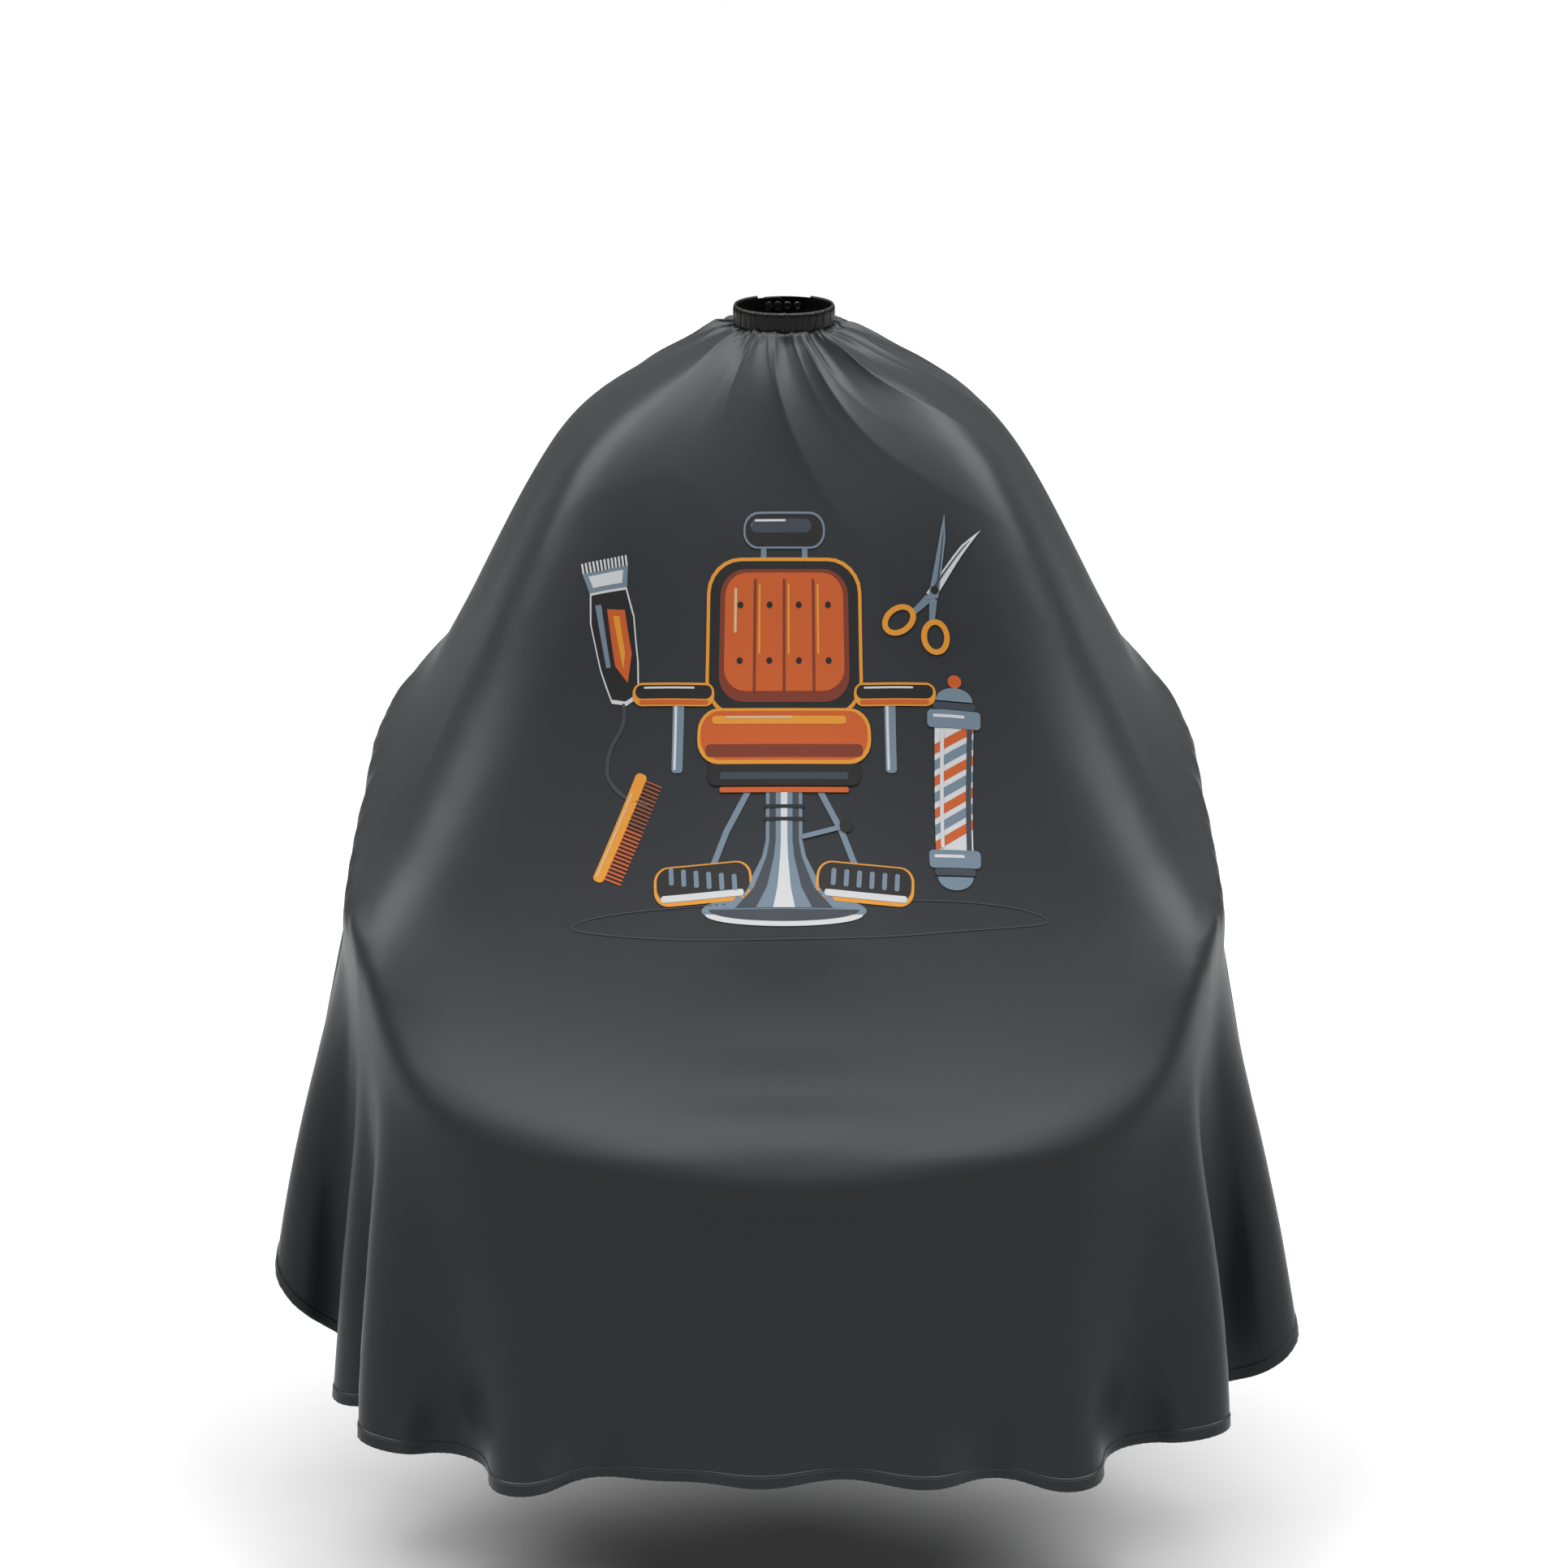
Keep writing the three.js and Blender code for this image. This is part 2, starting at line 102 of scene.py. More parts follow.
def cut_reach(angle):
    """How far the cut edge lies from the neck centre, in a flat direction: 0 is the front."""
    middle, half_length = (CUT_FRONT - CUT_BACK) / 2, (CUT_FRONT + CUT_BACK) / 2
    near, far = 0.1, 2.4
    for _ in range(40):
        reach = (near + far) / 2
        along = reach * math.cos(angle) - middle
        corner = FRONT_CORNER if along > 0 else BACK_CORNER
        out_x = abs(reach * math.sin(angle)) - (CUT_HALF_WIDTH - corner)
        out_y = abs(along) - (half_length - corner)
        outside = math.hypot(max(out_x, 0), max(out_y, 0)) + min(max(out_x, out_y), 0) - corner
        near, far = (reach, far) if outside < 0 else (near, reach)
    off_corner = (abs(math.degrees(angle)) - EASE_AT) / EASE_WIDTH
    return near - CORNER_EASE * math.exp(-(off_corner**2))


def flat_columns():
    """Directions of the thread lines, closer together where the cloth reaches further."""
    limit = math.pi - SLIT_HALF_ANGLE
    angles = np.linspace(-limit, limit, 1201)
    weight = np.array([cut_reach(a) for a in angles]) ** 0.75
    share = np.concatenate([[0], np.cumsum((weight[1:] + weight[:-1]) / 2)])
    return np.interp(np.linspace(0, share[-1], COLUMNS + 1), share, angles)


angles = flat_columns()
reaches = np.array([cut_reach(a) for a in angles])
row_share = np.linspace(0, 1, ROWS) ** ROW_GROWTH
radii = NECK_HOLE + (reaches[:, None] - HEM - NECK_HOLE) * row_share
radii = np.hstack([radii, reaches[:, None]])
flat = np.stack([np.sin(angles)[:, None] * radii, -np.cos(angles)[:, None] * radii, 0 * radii], axis=2)

# ---- the seated form ----------------------------------------------------------------------------

CHEST_PROFILE = np.array([(0.09, 0.085), (0.25, 0.29), (0.44, 0.56), (0.76, 0.85)])
ARM_PROFILE = np.array([(0.1, 0.03), (0.46, 0.22), (0.78, 0.67), (0.93, 0.89)])


def tilt(points):
    """From the neck plane into the row frame."""
    c, s = math.cos(NECK_TILT), math.sin(NECK_TILT)
    x, y, z = np.moveaxis(np.asarray(points, float), -1, 0)
    return np.stack([x, c * y - s * z, s * y + c * z], axis=-1)


def neck_point(angle, outward=0.0, up=0.0):
    """A point of the neckband in the neck plane: its centre line moved outwards and upwards."""
    angle = np.asarray(angle, float)
    sin, cos = np.sin(angle), -np.cos(angle)
    normal = np.stack([sin / NECK_HALF_WIDTH, cos / NECK_HALF_DEPTH], axis=-1)
    normal /= np.linalg.norm(normal, axis=-1, keepdims=True)
    x = NECK_HALF_WIDTH * sin + normal[..., 0] * outward
    y = NECK_HALF_DEPTH * cos + normal[..., 1] * outward
    return np.stack([x, y, 0 * x + up], axis=-1)


def form_sections():
    """Sections of the right half of the form, each from the neck over its rim and a little down,
    with the flat direction of the cloth that lies on each."""
    lap_forward = KNEE_FORWARD - LAP_BACK
    cuff = (HAND_HALF_WIDTH - CUFF_IN, -(lap_forward + HAND_FORWARD) / 2, -HAND_DROP - CUFF_DROP)
    forearm = (ELBOW_HALF_WIDTH, -HAND_FORWARD / 2, -(HAND_DROP + ELBOW_DROP) / 2)
    rows = [
        (0, 0, (0, -KNEE_FORWARD, -KNEE_DROP), 0),
        (24, 15, (KNEE_HALF_WIDTH, -KNEE_FORWARD + KNEE_SIDE_BACK, -KNEE_DROP + KNEE_SIDE_RISE), 0.05),
        (38, 21.5, (LAP_HALF_WIDTH, -lap_forward, -KNEE_DROP + LAP_RISE), 0.25),
        (50, 31.5, cuff, 0.5),
        (60, 39, (HAND_HALF_WIDTH, -HAND_FORWARD, -HAND_DROP), 0.75),
        (74, 52, forearm, 0.9),
        (90, 66, (ELBOW_HALF_WIDTH, 0, -ELBOW_DROP), 1),
        (112, 86, (ELBOW_HALF_WIDTH * 0.88, BEHIND_ELBOW, -ELBOW_DROP * 0.84), 1),
        (140, 130, (SHOULDER_HALF_WIDTH, BACK_DEPTH + SHOULDER_BULGE, -SHOULDER_BLADE_DROP), 1),
        (165, 164, (BACK_HALF_WIDTH, BACK_DEPTH, -BACK_DROP), 1),
        (180, 180, (0, BACK_DEPTH, -BACK_DROP), 1),
    ]
    sections = []
    for neck_angle, _, rim, arm in rows:
        rim = np.array(rim, float)
        around = math.radians(neck_angle)
        seam = [tilt(neck_point(around, out, -0.0011)) for out in (-0.001, 0.005)]
        profile = CHEST_PROFILE + (ARM_PROFILE - CHEST_PROFILE) * arm
        share = profile[:, [0, 0, 1]]
        between = seam[1] + (rim - seam[1]) * share
        away = rim * (1, 1, 0) / np.linalg.norm(rim[:2])
        below = [rim + away * 0.006 - (0, 0, 0.06), rim + away * 0.004 - (0, 0, 0.20)]
        sections.append([*seam, *between, rim, *below])
    directions = np.radians([row[:2] for row in rows])
    return np.array(sections), directions[:, 0], directions[:, 1]


def spline(points, where, closed=False):
    """Catmull-Rom curve through points, along their first axis, at places counted in points."""
    count = len(points)
    index = np.floor(where).astype(int)
    t = (where - index).reshape(-1, *[1] * (points.ndim - 1))
    pick = (lambda k: points[k % count]) if closed else (lambda k: points[np.clip(k, 0, count - 1)])
    p0, p1, p2, p3 = pick(index - 1), pick(index), pick(index + 1), pick(index + 2)
    bend = (2 * p0 - 5 * p1 + 4 * p2 - p3) * t**2 + (-p0 + 3 * p1 - 3 * p2 + p3) * t**3
    return 0.5 * (2 * p1 + (p2 - p0) * t + bend)


right_half, neck_directions, right_directions = form_sections()
left_half = right_half[1:-1][::-1] * (-1, 1, 1)
form_ring = np.concatenate([right_half, left_half])


def form_lines(places, steps):
    """Lines down the form from the neck, at places counted in sections round it."""
    lines = spline(form_ring, np.asarray(places, float), closed=True)
    down = np.linspace(0, lines.shape[1] - 1 - 1e-6, steps)
    return spline(lines.transpose(1, 0, 2), down).transpose(1, 0, 2)


class HeightMap:
    """The top of the form as a height over the plan, with its slope, for the cloth to rest on."""

    CELL = 0.004
    LOW = -1.6

    def __init__(self):
        self.corner = np.array([-0.60, -0.66])
        shape = (301, 231)
        height = np.full(shape, self.LOW)
        points = form_lines(np.linspace(0, len(form_ring), 720, endpoint=False), 420).reshape(-1, 3)
        cell = np.round((points[:, :2] - self.corner) / self.CELL).astype(int)
        np.maximum.at(height, (cell[:, 0], cell[:, 1]), points[:, 2])
        x = self.corner[0] + self.CELL * np.arange(shape[0])[:, None]
        y = self.corner[1] + self.CELL * np.arange(shape[1])[None, :]
        neck = (x / NECK_HALF_WIDTH) ** 2 + (y / NECK_HALF_DEPTH) ** 2 < 1.05
        height[neck] = (math.tan(NECK_TILT) * y + 0 * x)[neck] - 0.001
        for _ in range(6):
            height = self.fill(height)
        self.height = self.soften(height)
        self.slope_x, self.slope_y = np.gradient(self.height, self.CELL)

    def fill(self, height):
        shifted = [np.roll(height, step, axis) for axis in (0, 1) for step in (1, -1)]
        known = [part > self.LOW for part in shifted]
        count = sum(part.astype(int) for part in known)
        total = sum(np.where(ok, part, 0) for ok, part in zip(known, shifted))
        holes = (height <= self.LOW) & (count >= 3)
        return np.where(holes, total / np.maximum(count, 1), height)

    def soften(self, height):
        known = height > self.LOW
        for _ in range(3):
            top, weight = np.where(known, height, 0), known.astype(float)
            for axis in (0, 1):
                top = (np.roll(top, 1, axis) + 2 * top + np.roll(top, -1, axis)) / 4
                weight = (np.roll(weight, 1, axis) + 2 * weight + np.roll(weight, -1, axis)) / 4
            height = np.where(known, top / np.maximum(weight, 1e-6), height)
        return height

    def read(self, points):
        """Height and slopes under points, between the four cells round each."""
        place = (points[..., :2] - self.corner) / self.CELL
        place = np.clip(place, 0, np.array(self.height.shape) - 1.001)
        i, j = np.moveaxis(place.astype(int), -1, 0)
        u, v = np.moveaxis(place - np.floor(place), -1, 0)
        weights = ((0, 0, (1 - u) * (1 - v)), (1, 0, u * (1 - v)), (0, 1, (1 - u) * v), (1, 1, u * v))
        maps = (self.height, self.slope_x, self.slope_y)
        return [sum(field[i + a, j + b] * weight for a, b, weight in weights) for field in maps]


# ---- the drape ----------------------------------------------------------------------------------

SKIN = 0.10  # cloth further below the form's top than this hangs free of it
CLOTH_CLEARANCE = 0.003
GATHER_PITCH = 0.0095
BEND = 0.3  # how firmly the cloth resists a fold, from 0 to 1


class Drape:
    """Position-based cloth hung from the neckband over the seated form. Its lengths are those of the
    flat cut where it hangs, and those of the form where laid is 1 and it lies on the form."""

    def __init__(self, rest, start, held, laid):
        self.points = start.copy()
        self.free = 1.0 - held
        self.start, self.laid = start, laid
        self.form = HeightMap()
        self.threads = [c for offset in ((0, 1), (1, 0)) for c in self.links(rest, offset, 1.0)]
        self.threads += [c for offset in ((1, 1), (1, -1)) for c in self.links(rest, offset, 0.5)]
        self.bends = [c for offset in ((2, 0), (0, 2)) for c in self.links(rest, offset, BEND)]

    @staticmethod
    def split(count, offset):
        """Slices (a, b) along one axis, with b offset from a, that share no point."""
        step = 2 * abs(offset)
        found = []
        for first in range(step):
            number = len(range(first, count - abs(offset), step))
            if number:
                last = first + (number - 1) * step + 1
                found.append((slice(first, last, step), slice(first + abs(offset), last + abs(offset), step)))
        return found

    def links(self, rest, offset, stiffness):
        columns, rows = rest.shape[:2]
        across, down = offset
        everything = (slice(0, columns), slice(0, rows))
        if across and down:
            rows_a, rows_b = slice(0, rows - 1), slice(1, rows)
            if down < 0:
                rows_a, rows_b = rows_b, rows_a
            pairs = [((a, rows_a), (b, rows_b)) for a, b in self.split(columns, 1)]
        elif across:
            pairs = [((a, everything[1]), (b, everything[1])) for a, b in self.split(columns, across)]
        else:
            pairs = [((everything[0], a), (everything[0], b)) for a, b in self.split(rows, down)]
        found = []
        for a, b in pairs:
            settled = (self.laid[a] + self.laid[b]) / 2
            length = np.linalg.norm(rest[a] - rest[b], axis=-1) * (1 - settled)
            length += np.linalg.norm(self.start[a] - self.start[b], axis=-1) * settled
            total = np.maximum(self.free[a] + self.free[b], 1)
            found.append((a, b, length, stiffness * self.free[a] / total, stiffness * self.free[b] / total))
        return found

    def pull(self, links):
        for a, b, length, share_a, share_b in links:
            first, second = self.points[a], self.points[b]
            between = second - first
            now = np.sqrt(np.einsum("ijk,ijk->ij", between, between)) + 1e-9
            move = (now - length) / now
            first += between * (move * share_a)[..., None]
            second -= between * (move * share_b)[..., None]

    def rest_on_form(self, before, friction):
        height, slope_x, slope_y = self.form.read(self.points)
        steep = np.sqrt(1 + slope_x**2 + slope_y**2)
        below = height - self.points[..., 2]
        depth = below / steep + CLOTH_CLEARANCE
        touching = (depth > 0) & (below < SKIN) & (height > HeightMap.LOW + 0.05)
        push = np.where(touching, np.minimum(depth, 0.02), 0) / steep
        self.points += np.stack([-slope_x * push, -slope_y * push, push], axis=-1)
        before += (self.points - before) * np.where(touching, friction, 0)[..., None]

    def run(self, steps, step_time, keep, friction, pulls=1):
        before = self.points.copy()
        fall = 9.81 * step_time**2
        free = (self.free > 0)[..., None]
        for step in range(steps):
            moved = (self.points - before) * keep
            before = self.points.copy()
            self.points += moved * free
            self.points[..., 2] -= fall * free[..., 0]
            for _ in range(pulls):
                self.pull(self.threads)
            if step % 2 == 0:
                self.pull(self.bends)
                self.rest_on_form(before, friction)


# where folds start in the hanging cloth: direction in degrees, depth, width in degrees
FOLD_SEEDS = (
    (-26, 0.085, 3.6),
    (26, 0.080, 3.6),
    (-5.5, 0.050, 3.2),
    (11, 0.022, 3.0),
    (-48, 0.03, 5),
    (50, 0.03, 5),
)


def start_shape():
    """The cloth laid on the form, thread line by thread line, and hanging straight beyond it. A
    line leaves the neck in its own direction and reaches the rim where the flat cut puts it."""
    start = np.zeros_like(flat)
    laid, hang = np.zeros(flat.shape[:2]), np.zeros(flat.shape[:2])
    wanted = radii - NECK_HOLE
    for directions, weight in (
        (neck_directions, 1 - smooth(0.0, 0.55, wanted)),
        (right_directions, smooth(0.0, 0.55, wanted)),
    ):
        sections = np.interp(np.abs(angles), directions, np.arange(len(directions)))
        places = np.where(angles < 0, len(form_ring) - sections, sections)
        lines = form_lines(places, 160)
        steps = np.linalg.norm(np.diff(lines, axis=1), axis=2)
        lengths = np.hstack([np.zeros((len(lines), 1)), np.cumsum(steps, axis=1)])
        rims = lengths[:, 120]
        beyond = wanted - rims[:, None]
        laid += (1 - smooth(0.02, 0.38, beyond)) * weight
        hang += smooth(0.0, 0.34, beyond) * weight
        for column, line in enumerate(lines):
            over = [np.interp(wanted[column], lengths[column], line[:, axis]) for axis in range(3)]
            over[2] -= np.maximum(wanted[column] - lengths[column, -1], 0)
            start[column] += np.stack(over, axis=-1) * weight[column][:, None]
    for at, depth, width in FOLD_SEEDS:
        inward = depth * np.exp(-(((np.degrees(angles) - at) / width) ** 2))
        away = start[..., :2] / np.linalg.norm(start[..., :2], axis=-1, keepdims=True)
        start[..., :2] -= away * (hang * inward[:, None])[..., None]
    start[..., 2] += 0.0035
    return start, laid


def gathered_seam():
    """Where the neck edge is sewn into the band: drawn up into small pleats."""
    seam = neck_point(angles)
    run = np.concatenate([[0], np.cumsum(np.linalg.norm(np.diff(seam, axis=0), axis=1))])
    pleat = np.sin(2 * np.pi * run / GATHER_PITCH + 1.3 * np.sin(37 * run) + 0.7 * np.sin(91 * run))
    rows = []
    for outward, swing in ((0.0006, 0.0), (0.0042, 0.0016)):
        rows.append(tilt(neck_point(angles, outward, -0.0012) + np.outer(pleat * swing, (0, 0, 1))))
    return rows, pleat


LAP_SPREAD = 24  # degrees each side of the middle front
LAP_ROUNDS = 40


def soften(points, weight, rounds):
    """Evens out small crumples from side to side, where weight is 1."""
    points = points.copy()
    for _ in range(rounds):
        between = (points[2:] + points[:-2]) / 2
        points[1:-1] += 0.5 * weight[1:-1, :, None] * (between - points[1:-1])
    return points


def drape_cape():
    start, laid = start_shape()
    seam_rows, pleat = gathered_seam()
    start[:, 0] = seam_rows[0]
    fade = np.exp(-(radii - NECK_HOLE) / 0.06)
    start[:, 1:, 2] += (0.002 * fade * pleat[:, None])[:, 1:]
    held = np.zeros(flat.shape[:2])
    held[:, 0] = 1
    drape = Drape(flat, start, held, laid)
    drape.run(steps=900, step_time=1 / 420, keep=0.985, friction=0.8)
    drape.run(steps=300, step_time=1 / 700, keep=0.95, friction=0.8, pulls=4)
    at_the_lap = np.exp(-((np.degrees(angles) / LAP_SPREAD) ** 4))[:, None]
    return soften(drape.points, laid * at_the_lap, LAP_ROUNDS)


# ---- pieces -------------------------------------------------------------------------------------

rng = np.random.default_rng(7)


def material(name, color, roughness, bump=None, **sockets):
    """A Principled material; bump is (size of the pattern, its height) in metres."""
    made = bpy.data.materials.new(name)
    made.use_nodes = True
    made.diffuse_color = (*color, 1)
    nodes, links = made.node_tree.nodes, made.node_tree.links
    shader = nodes["Principled BSDF"]
    shader.inputs["Base Color"].default_value = (*color, 1)
    shader.inputs["Roughness"].default_value = roughness
    for socket, value in sockets.items():
        shader.inputs[socket.replace("_", " ")].default_value = value
    if bump:
        size, height = bump
        place = nodes.new("ShaderNodeTexCoord")
        noise = nodes.new("ShaderNodeTexNoise")
        noise.inputs["Scale"].default_value = 1 / size
        noise.inputs["Detail"].default_value = 4
        relief = nodes.new("ShaderNodeBump")
        relief.inputs["Distance"].default_value = height
        links.new(place.outputs["Object"], noise.inputs["Vector"])
        links.new(noise.outputs["Fac"], relief.inputs["Height"])
        links.new(relief.outputs["Normal"], shader.inputs["Normal"])
    return made


satin = material(
    "black_polyester_satin", (0.0125, 0.0142, 0.0158), 0.42, (0.0035, 0.00006),
    Specular_IOR_Level=0.14, Sheen_Weight=0.04, Sheen_Roughness=0.4,
)
band_satin = material(
    "neckband_satin", (0.0022, 0.0025, 0.0020), 0.33, (0.004, 0.0002), Specular_IOR_Level=0.16,
)
piping_gloss = material("piping_gloss", (0.010, 0.010, 0.010), 0.20, Specular_IOR_Level=0.6)
knit = material("elastic_knit", (0.02, 0.02, 0.02), 0.85, (0.0008, 0.0003))
dark_thread = material("black_thread", (0.016, 0.017, 0.018), 0.55)
# pale grey thread colour: a painted highlight, standing in for glints of light along the piping seam
pale_glint_thread = material("seam_thread_painted_glint", (0.15, 0.15, 0.14), 0.35)
snap_gloss = material("black_snap_resin", (0.012, 0.012, 0.013), 0.16, (0.003, 0.00005))


def mesh_piece(name, points, faces, surface, body="cape"):
    mesh = bpy.data.meshes.new(name)
    mesh.from_pydata(np.asarray(points).reshape(-1, 3).tolist(), [], [list(face) for face in faces])
    mesh.update()
    mesh.materials.append(surface)
    mesh.polygons.foreach_set("use_smooth", [True] * len(mesh.polygons))
    made = bpy.data.objects.new(name, mesh)
    bpy.context.scene.collection.objects.link(made)
    if body:
        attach(made, body)
    return made


def grid_faces(columns, rows):
    first = (np.arange(columns - 1)[:, None] * rows + np.arange(rows - 1)).ravel()
    return np.stack([first, first + 1, first + rows + 1, first + rows], axis=1)


def loft_faces(stations, around, caps=True):
    """Faces of a closed section carried through stations."""
    first = np.arange(stations - 1)[:, None] * around
    here, there = np.arange(around), (np.arange(around) + 1) % around
    quads = [first + here, first + there, first + around + there, first + around + here]
    faces = [tuple(face) for face in np.stack([q.ravel() for q in quads], axis=1)]
    if caps:
        faces.append(tuple(range(around))[::-1])
        faces.append(tuple(range((stations - 1) * around, stations * around)))
    return faces


def refine(grid, across, down):
    """The grid with across and down times as many intervals, on smooth curves."""
    grid = spline(grid, np.linspace(0, len(grid) - 1, across * (len(grid) - 1) + 1))
    rows = grid.shape[1]
    return spline(grid.transpose(1, 0, 2), np.linspace(0, rows - 1, down * (rows - 1) + 1)).transpose(1, 0, 2)


def grid_normals(grid):
    normal = np.cross(np.gradient(grid, axis=1), np.gradient(grid, axis=0))
    return normal / np.maximum(np.linalg.norm(normal, axis=-1, keepdims=True), 1e-12)


def wander(length, step, seed):
    """A smooth random line of values between -1 and 1, one for each metre place in length."""
    knots = np.random.default_rng(seed).uniform(-1, 1, int(length.max() / step) + 4)
    return spline(knots, length / step)


# ---- the cape sheet, its hems and stitching -----------------------------------------------------

FINE = 2
SHEET_ROWS = ROWS - 1


def gathers(run, reach):
    """How far the gathered cloth stands out, at a length run along the seam and a reach from it:
    tight puckers at the stitches that merge into a few long ridges over the chest."""
    total = 0 * reach
    for pitch, height, rise, fade, seed in (
        (0.0088, 0.0016, 0.006, 0.018, 3),
        (0.0190, 0.0085, 0.010, 0.048, 5),
        (0.0370, 0.0180, 0.026, 0.082, 8),
    ):
        swirl = 0.35 * wander(run, 0.05, seed + 20)[:, None] * reach / fade
        phase = run[:, None] / pitch + 0.9 * wander(run, 2.2 * pitch, seed)[:, None] + swirl
        ridge = 1 - np.abs(np.sin(np.pi * phase)) ** 0.75
        strength = 0.7 + 0.5 * wander(run, 1.7 * pitch, seed + 40)[:, None]
        total += height * strength * (ridge - 0.35) * (1 - np.exp(-reach / rise)) * np.exp(-reach / fade)
    return total


def finished_sheet(drape):
    fine = refine(drape[:, :ROWS], FINE, FINE)
    columns = np.linspace(0, COLUMNS, COLUMNS * FINE + 1)
    fine_angles = np.interp(columns, np.arange(COLUMNS + 1), angles)
    seam = neck_point(fine_angles)
    run = np.concatenate([[0], np.cumsum(np.linalg.norm(np.diff(seam, axis=0), axis=1))])
    steps = np.linalg.norm(np.diff(fine, axis=1), axis=2)
    reach = np.hstack([np.zeros((len(fine), 1)), np.cumsum(steps, axis=1)])
    out = gathers(run, reach)
    return fine + grid_normals(fine) * out[..., None]


drape = drape_cape()
sheet_grid = finished_sheet(drape)
sheet_normals = grid_normals(sheet_grid)
cape_cloth = mesh_piece("cape_cloth", sheet_grid, grid_faces(*sheet_grid.shape[:2]), satin)
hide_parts("cape_sheet")

HEM_HALF = 0.0009
FACING_WIDTH = 0.009
FACING_OVER = 0.0012  # how far the facing wraps past the slit's edge
STRIP = [(-0.16, 0.55), (0.0, 1.0), (0.5, 0.95), (0.92, 1.0), (1.0, 0.0)]
STRIP_SECTION = STRIP + [(across, -half) for across, half in STRIP[-2::-1]]


def strip_piece(name, inner, outer, normals, replaced):
    """A folded hem: a flat closed section between two lines of points, slightly puckered."""
    length = np.concatenate([[0], np.cumsum(np.linalg.norm(np.diff(outer, axis=0), axis=1))])
    pucker = 0.0004 * np.sin(2 * np.pi * length / 0.008 + 2 * wander(length, 0.03, 11))
    rings = [
        inner + (outer - inner) * across + normals * (half * HEM_HALF + pucker * across)[:, None]
        for across, half in STRIP_SECTION
    ]
    points = np.stack(rings, axis=1)
    made = mesh_piece(name, points, loft_faces(len(points), len(rings)), satin)
    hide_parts(replaced)
    return made


def stitches(name, path, normals, pitch, length, radius, thread, skip=0.0, body="cape"):
    """Short thread lengths laid along a path of points, each a bar with rounded ends."""
    run = np.concatenate([[0], np.cumsum(np.linalg.norm(np.diff(path, axis=0), axis=1))])
    begins = np.arange(pitch, run[-1] - pitch, pitch)
    if skip:
        begins = begins[rng.random(len(begins)) > skip] + rng.uniform(-0.3, 0.3) * pitch
    at = lambda places: np.stack([np.interp(places, run, path[:, k]) for k in range(3)], axis=-1)
    up = np.stack([np.interp(begins, run, normals[:, k]) for k in range(3)], axis=-1)
    spread = rng.uniform(0.55, 1.2, len(begins)) if skip else 1.0
    along = at(begins + length * spread) - at(begins)
    side = np.cross(along / np.linalg.norm(along, axis=1, keepdims=True), up)
    stations = []
    for share, width in ((0.0, 0.3), (0.12, 0.9), (0.88, 0.9), (1.0, 0.3)):
        centre = at(begins) + along * share + up * radius * (width - 0.9)
        for turn in np.linspace(0, 2 * np.pi, 6, endpoint=False):
            stations.append(centre + (side * math.cos(turn) + up * math.sin(turn)) * radius * width)
    points = np.stack(stations, axis=1)
    single = loft_faces(4, 6)
    faces = [tuple(np.array(face) + 24 * k) for k in range(len(points)) for face in single]
    return mesh_piece(name, points, faces, thread, body)


def hem_lines(drape):
    """Inner and outer line of the bottom hem and its normals, at a fine step."""
    strip = refine(drape[:, ROWS - 1 : ROWS + 1], 6, 1)
    normals = refine(grid_normals(drape)[:, ROWS - 1 : ROWS + 1], 6, 1)[:, 0]
    return strip[:, 0], strip[:, 1], normals / np.linalg.norm(normals, axis=1, keepdims=True)


hem_inner, hem_outer, hem_normals = hem_lines(drape)
bottom_hem = strip_piece("bottom_hem", hem_inner, hem_outer, hem_normals, "hem_fold")
cloth_pieces = [bottom_hem]
for side, label in ((1, "left"), (-1, "right")):
    edge = -1 if side > 0 else 0
    line, beside = sheet_grid[edge, 1:], sheet_grid[edge - side, 1:]
    inward = beside - line
    inward /= np.linalg.norm(inward, axis=1, keepdims=True)
    normals = sheet_normals[edge, 1:]
    strip = strip_piece(
        f"slit_facing_{label}", line + inward * FACING_WIDTH, line - inward * FACING_OVER,
        normals, f"slit_hem_{label}",
    )
    thread = stitches(
        f"slit_stitching_{label}", line + inward * FACING_WIDTH * 0.86 + normals * HEM_HALF, normals,
        0.0042, 0.0031, 0.00032, dark_thread,
    )
    cloth_pieces += [strip, thread]
for side, label in ((1, "outer"), (-1, "inner")):
    path = hem_inner + (hem_outer - hem_inner) * 0.10 + hem_normals * side * HEM_HALF
    cloth_pieces.append(stitches(
        f"hem_stitching_{label}", path, hem_normals * side,
        0.0044, 0.0033, 0.00034, dark_thread,
    ))

# ---- the print: generic barber tools and chair --------------------------------------------------

PRINT_FORWARD = 0.525
PRINT_CELL = 0.007
PRINT_LIFT = 0.0006
PRINT_LAYER = 0.00014
INKS = {
    "black": (0.002, 0.002, 0.0025), "orange": (0.23, 0.040, 0.004), "amber": (0.30, 0.12, 0.009),
    "rust": (0.08, 0.011, 0.003), "white": (0.25, 0.255, 0.26), "steel": (0.065, 0.09, 0.115),
    "shade": (0.014, 0.019, 0.025), "cream": (0.27, 0.18, 0.10),
}
ink_names = list(INKS)
shapes = []


def draw(ink, layer, outline):
    shapes.append((ink_names.index(ink), layer, np.asarray(outline, float)))


def turned(points, centre, turn):
    c, s = math.cos(math.radians(turn)), math.sin(math.radians(turn))
    return np.asarray(points) @ np.array([[c, s], [-s, c]]) + centre


def ellipse(x, y, rx, ry, turn=0, count=48, start=0, end=360):
    a = np.radians(np.linspace(start, end, count, endpoint=end - start < 360))
    return turned(np.stack([rx * np.cos(a), ry * np.sin(a)], axis=1), (x, y), turn)


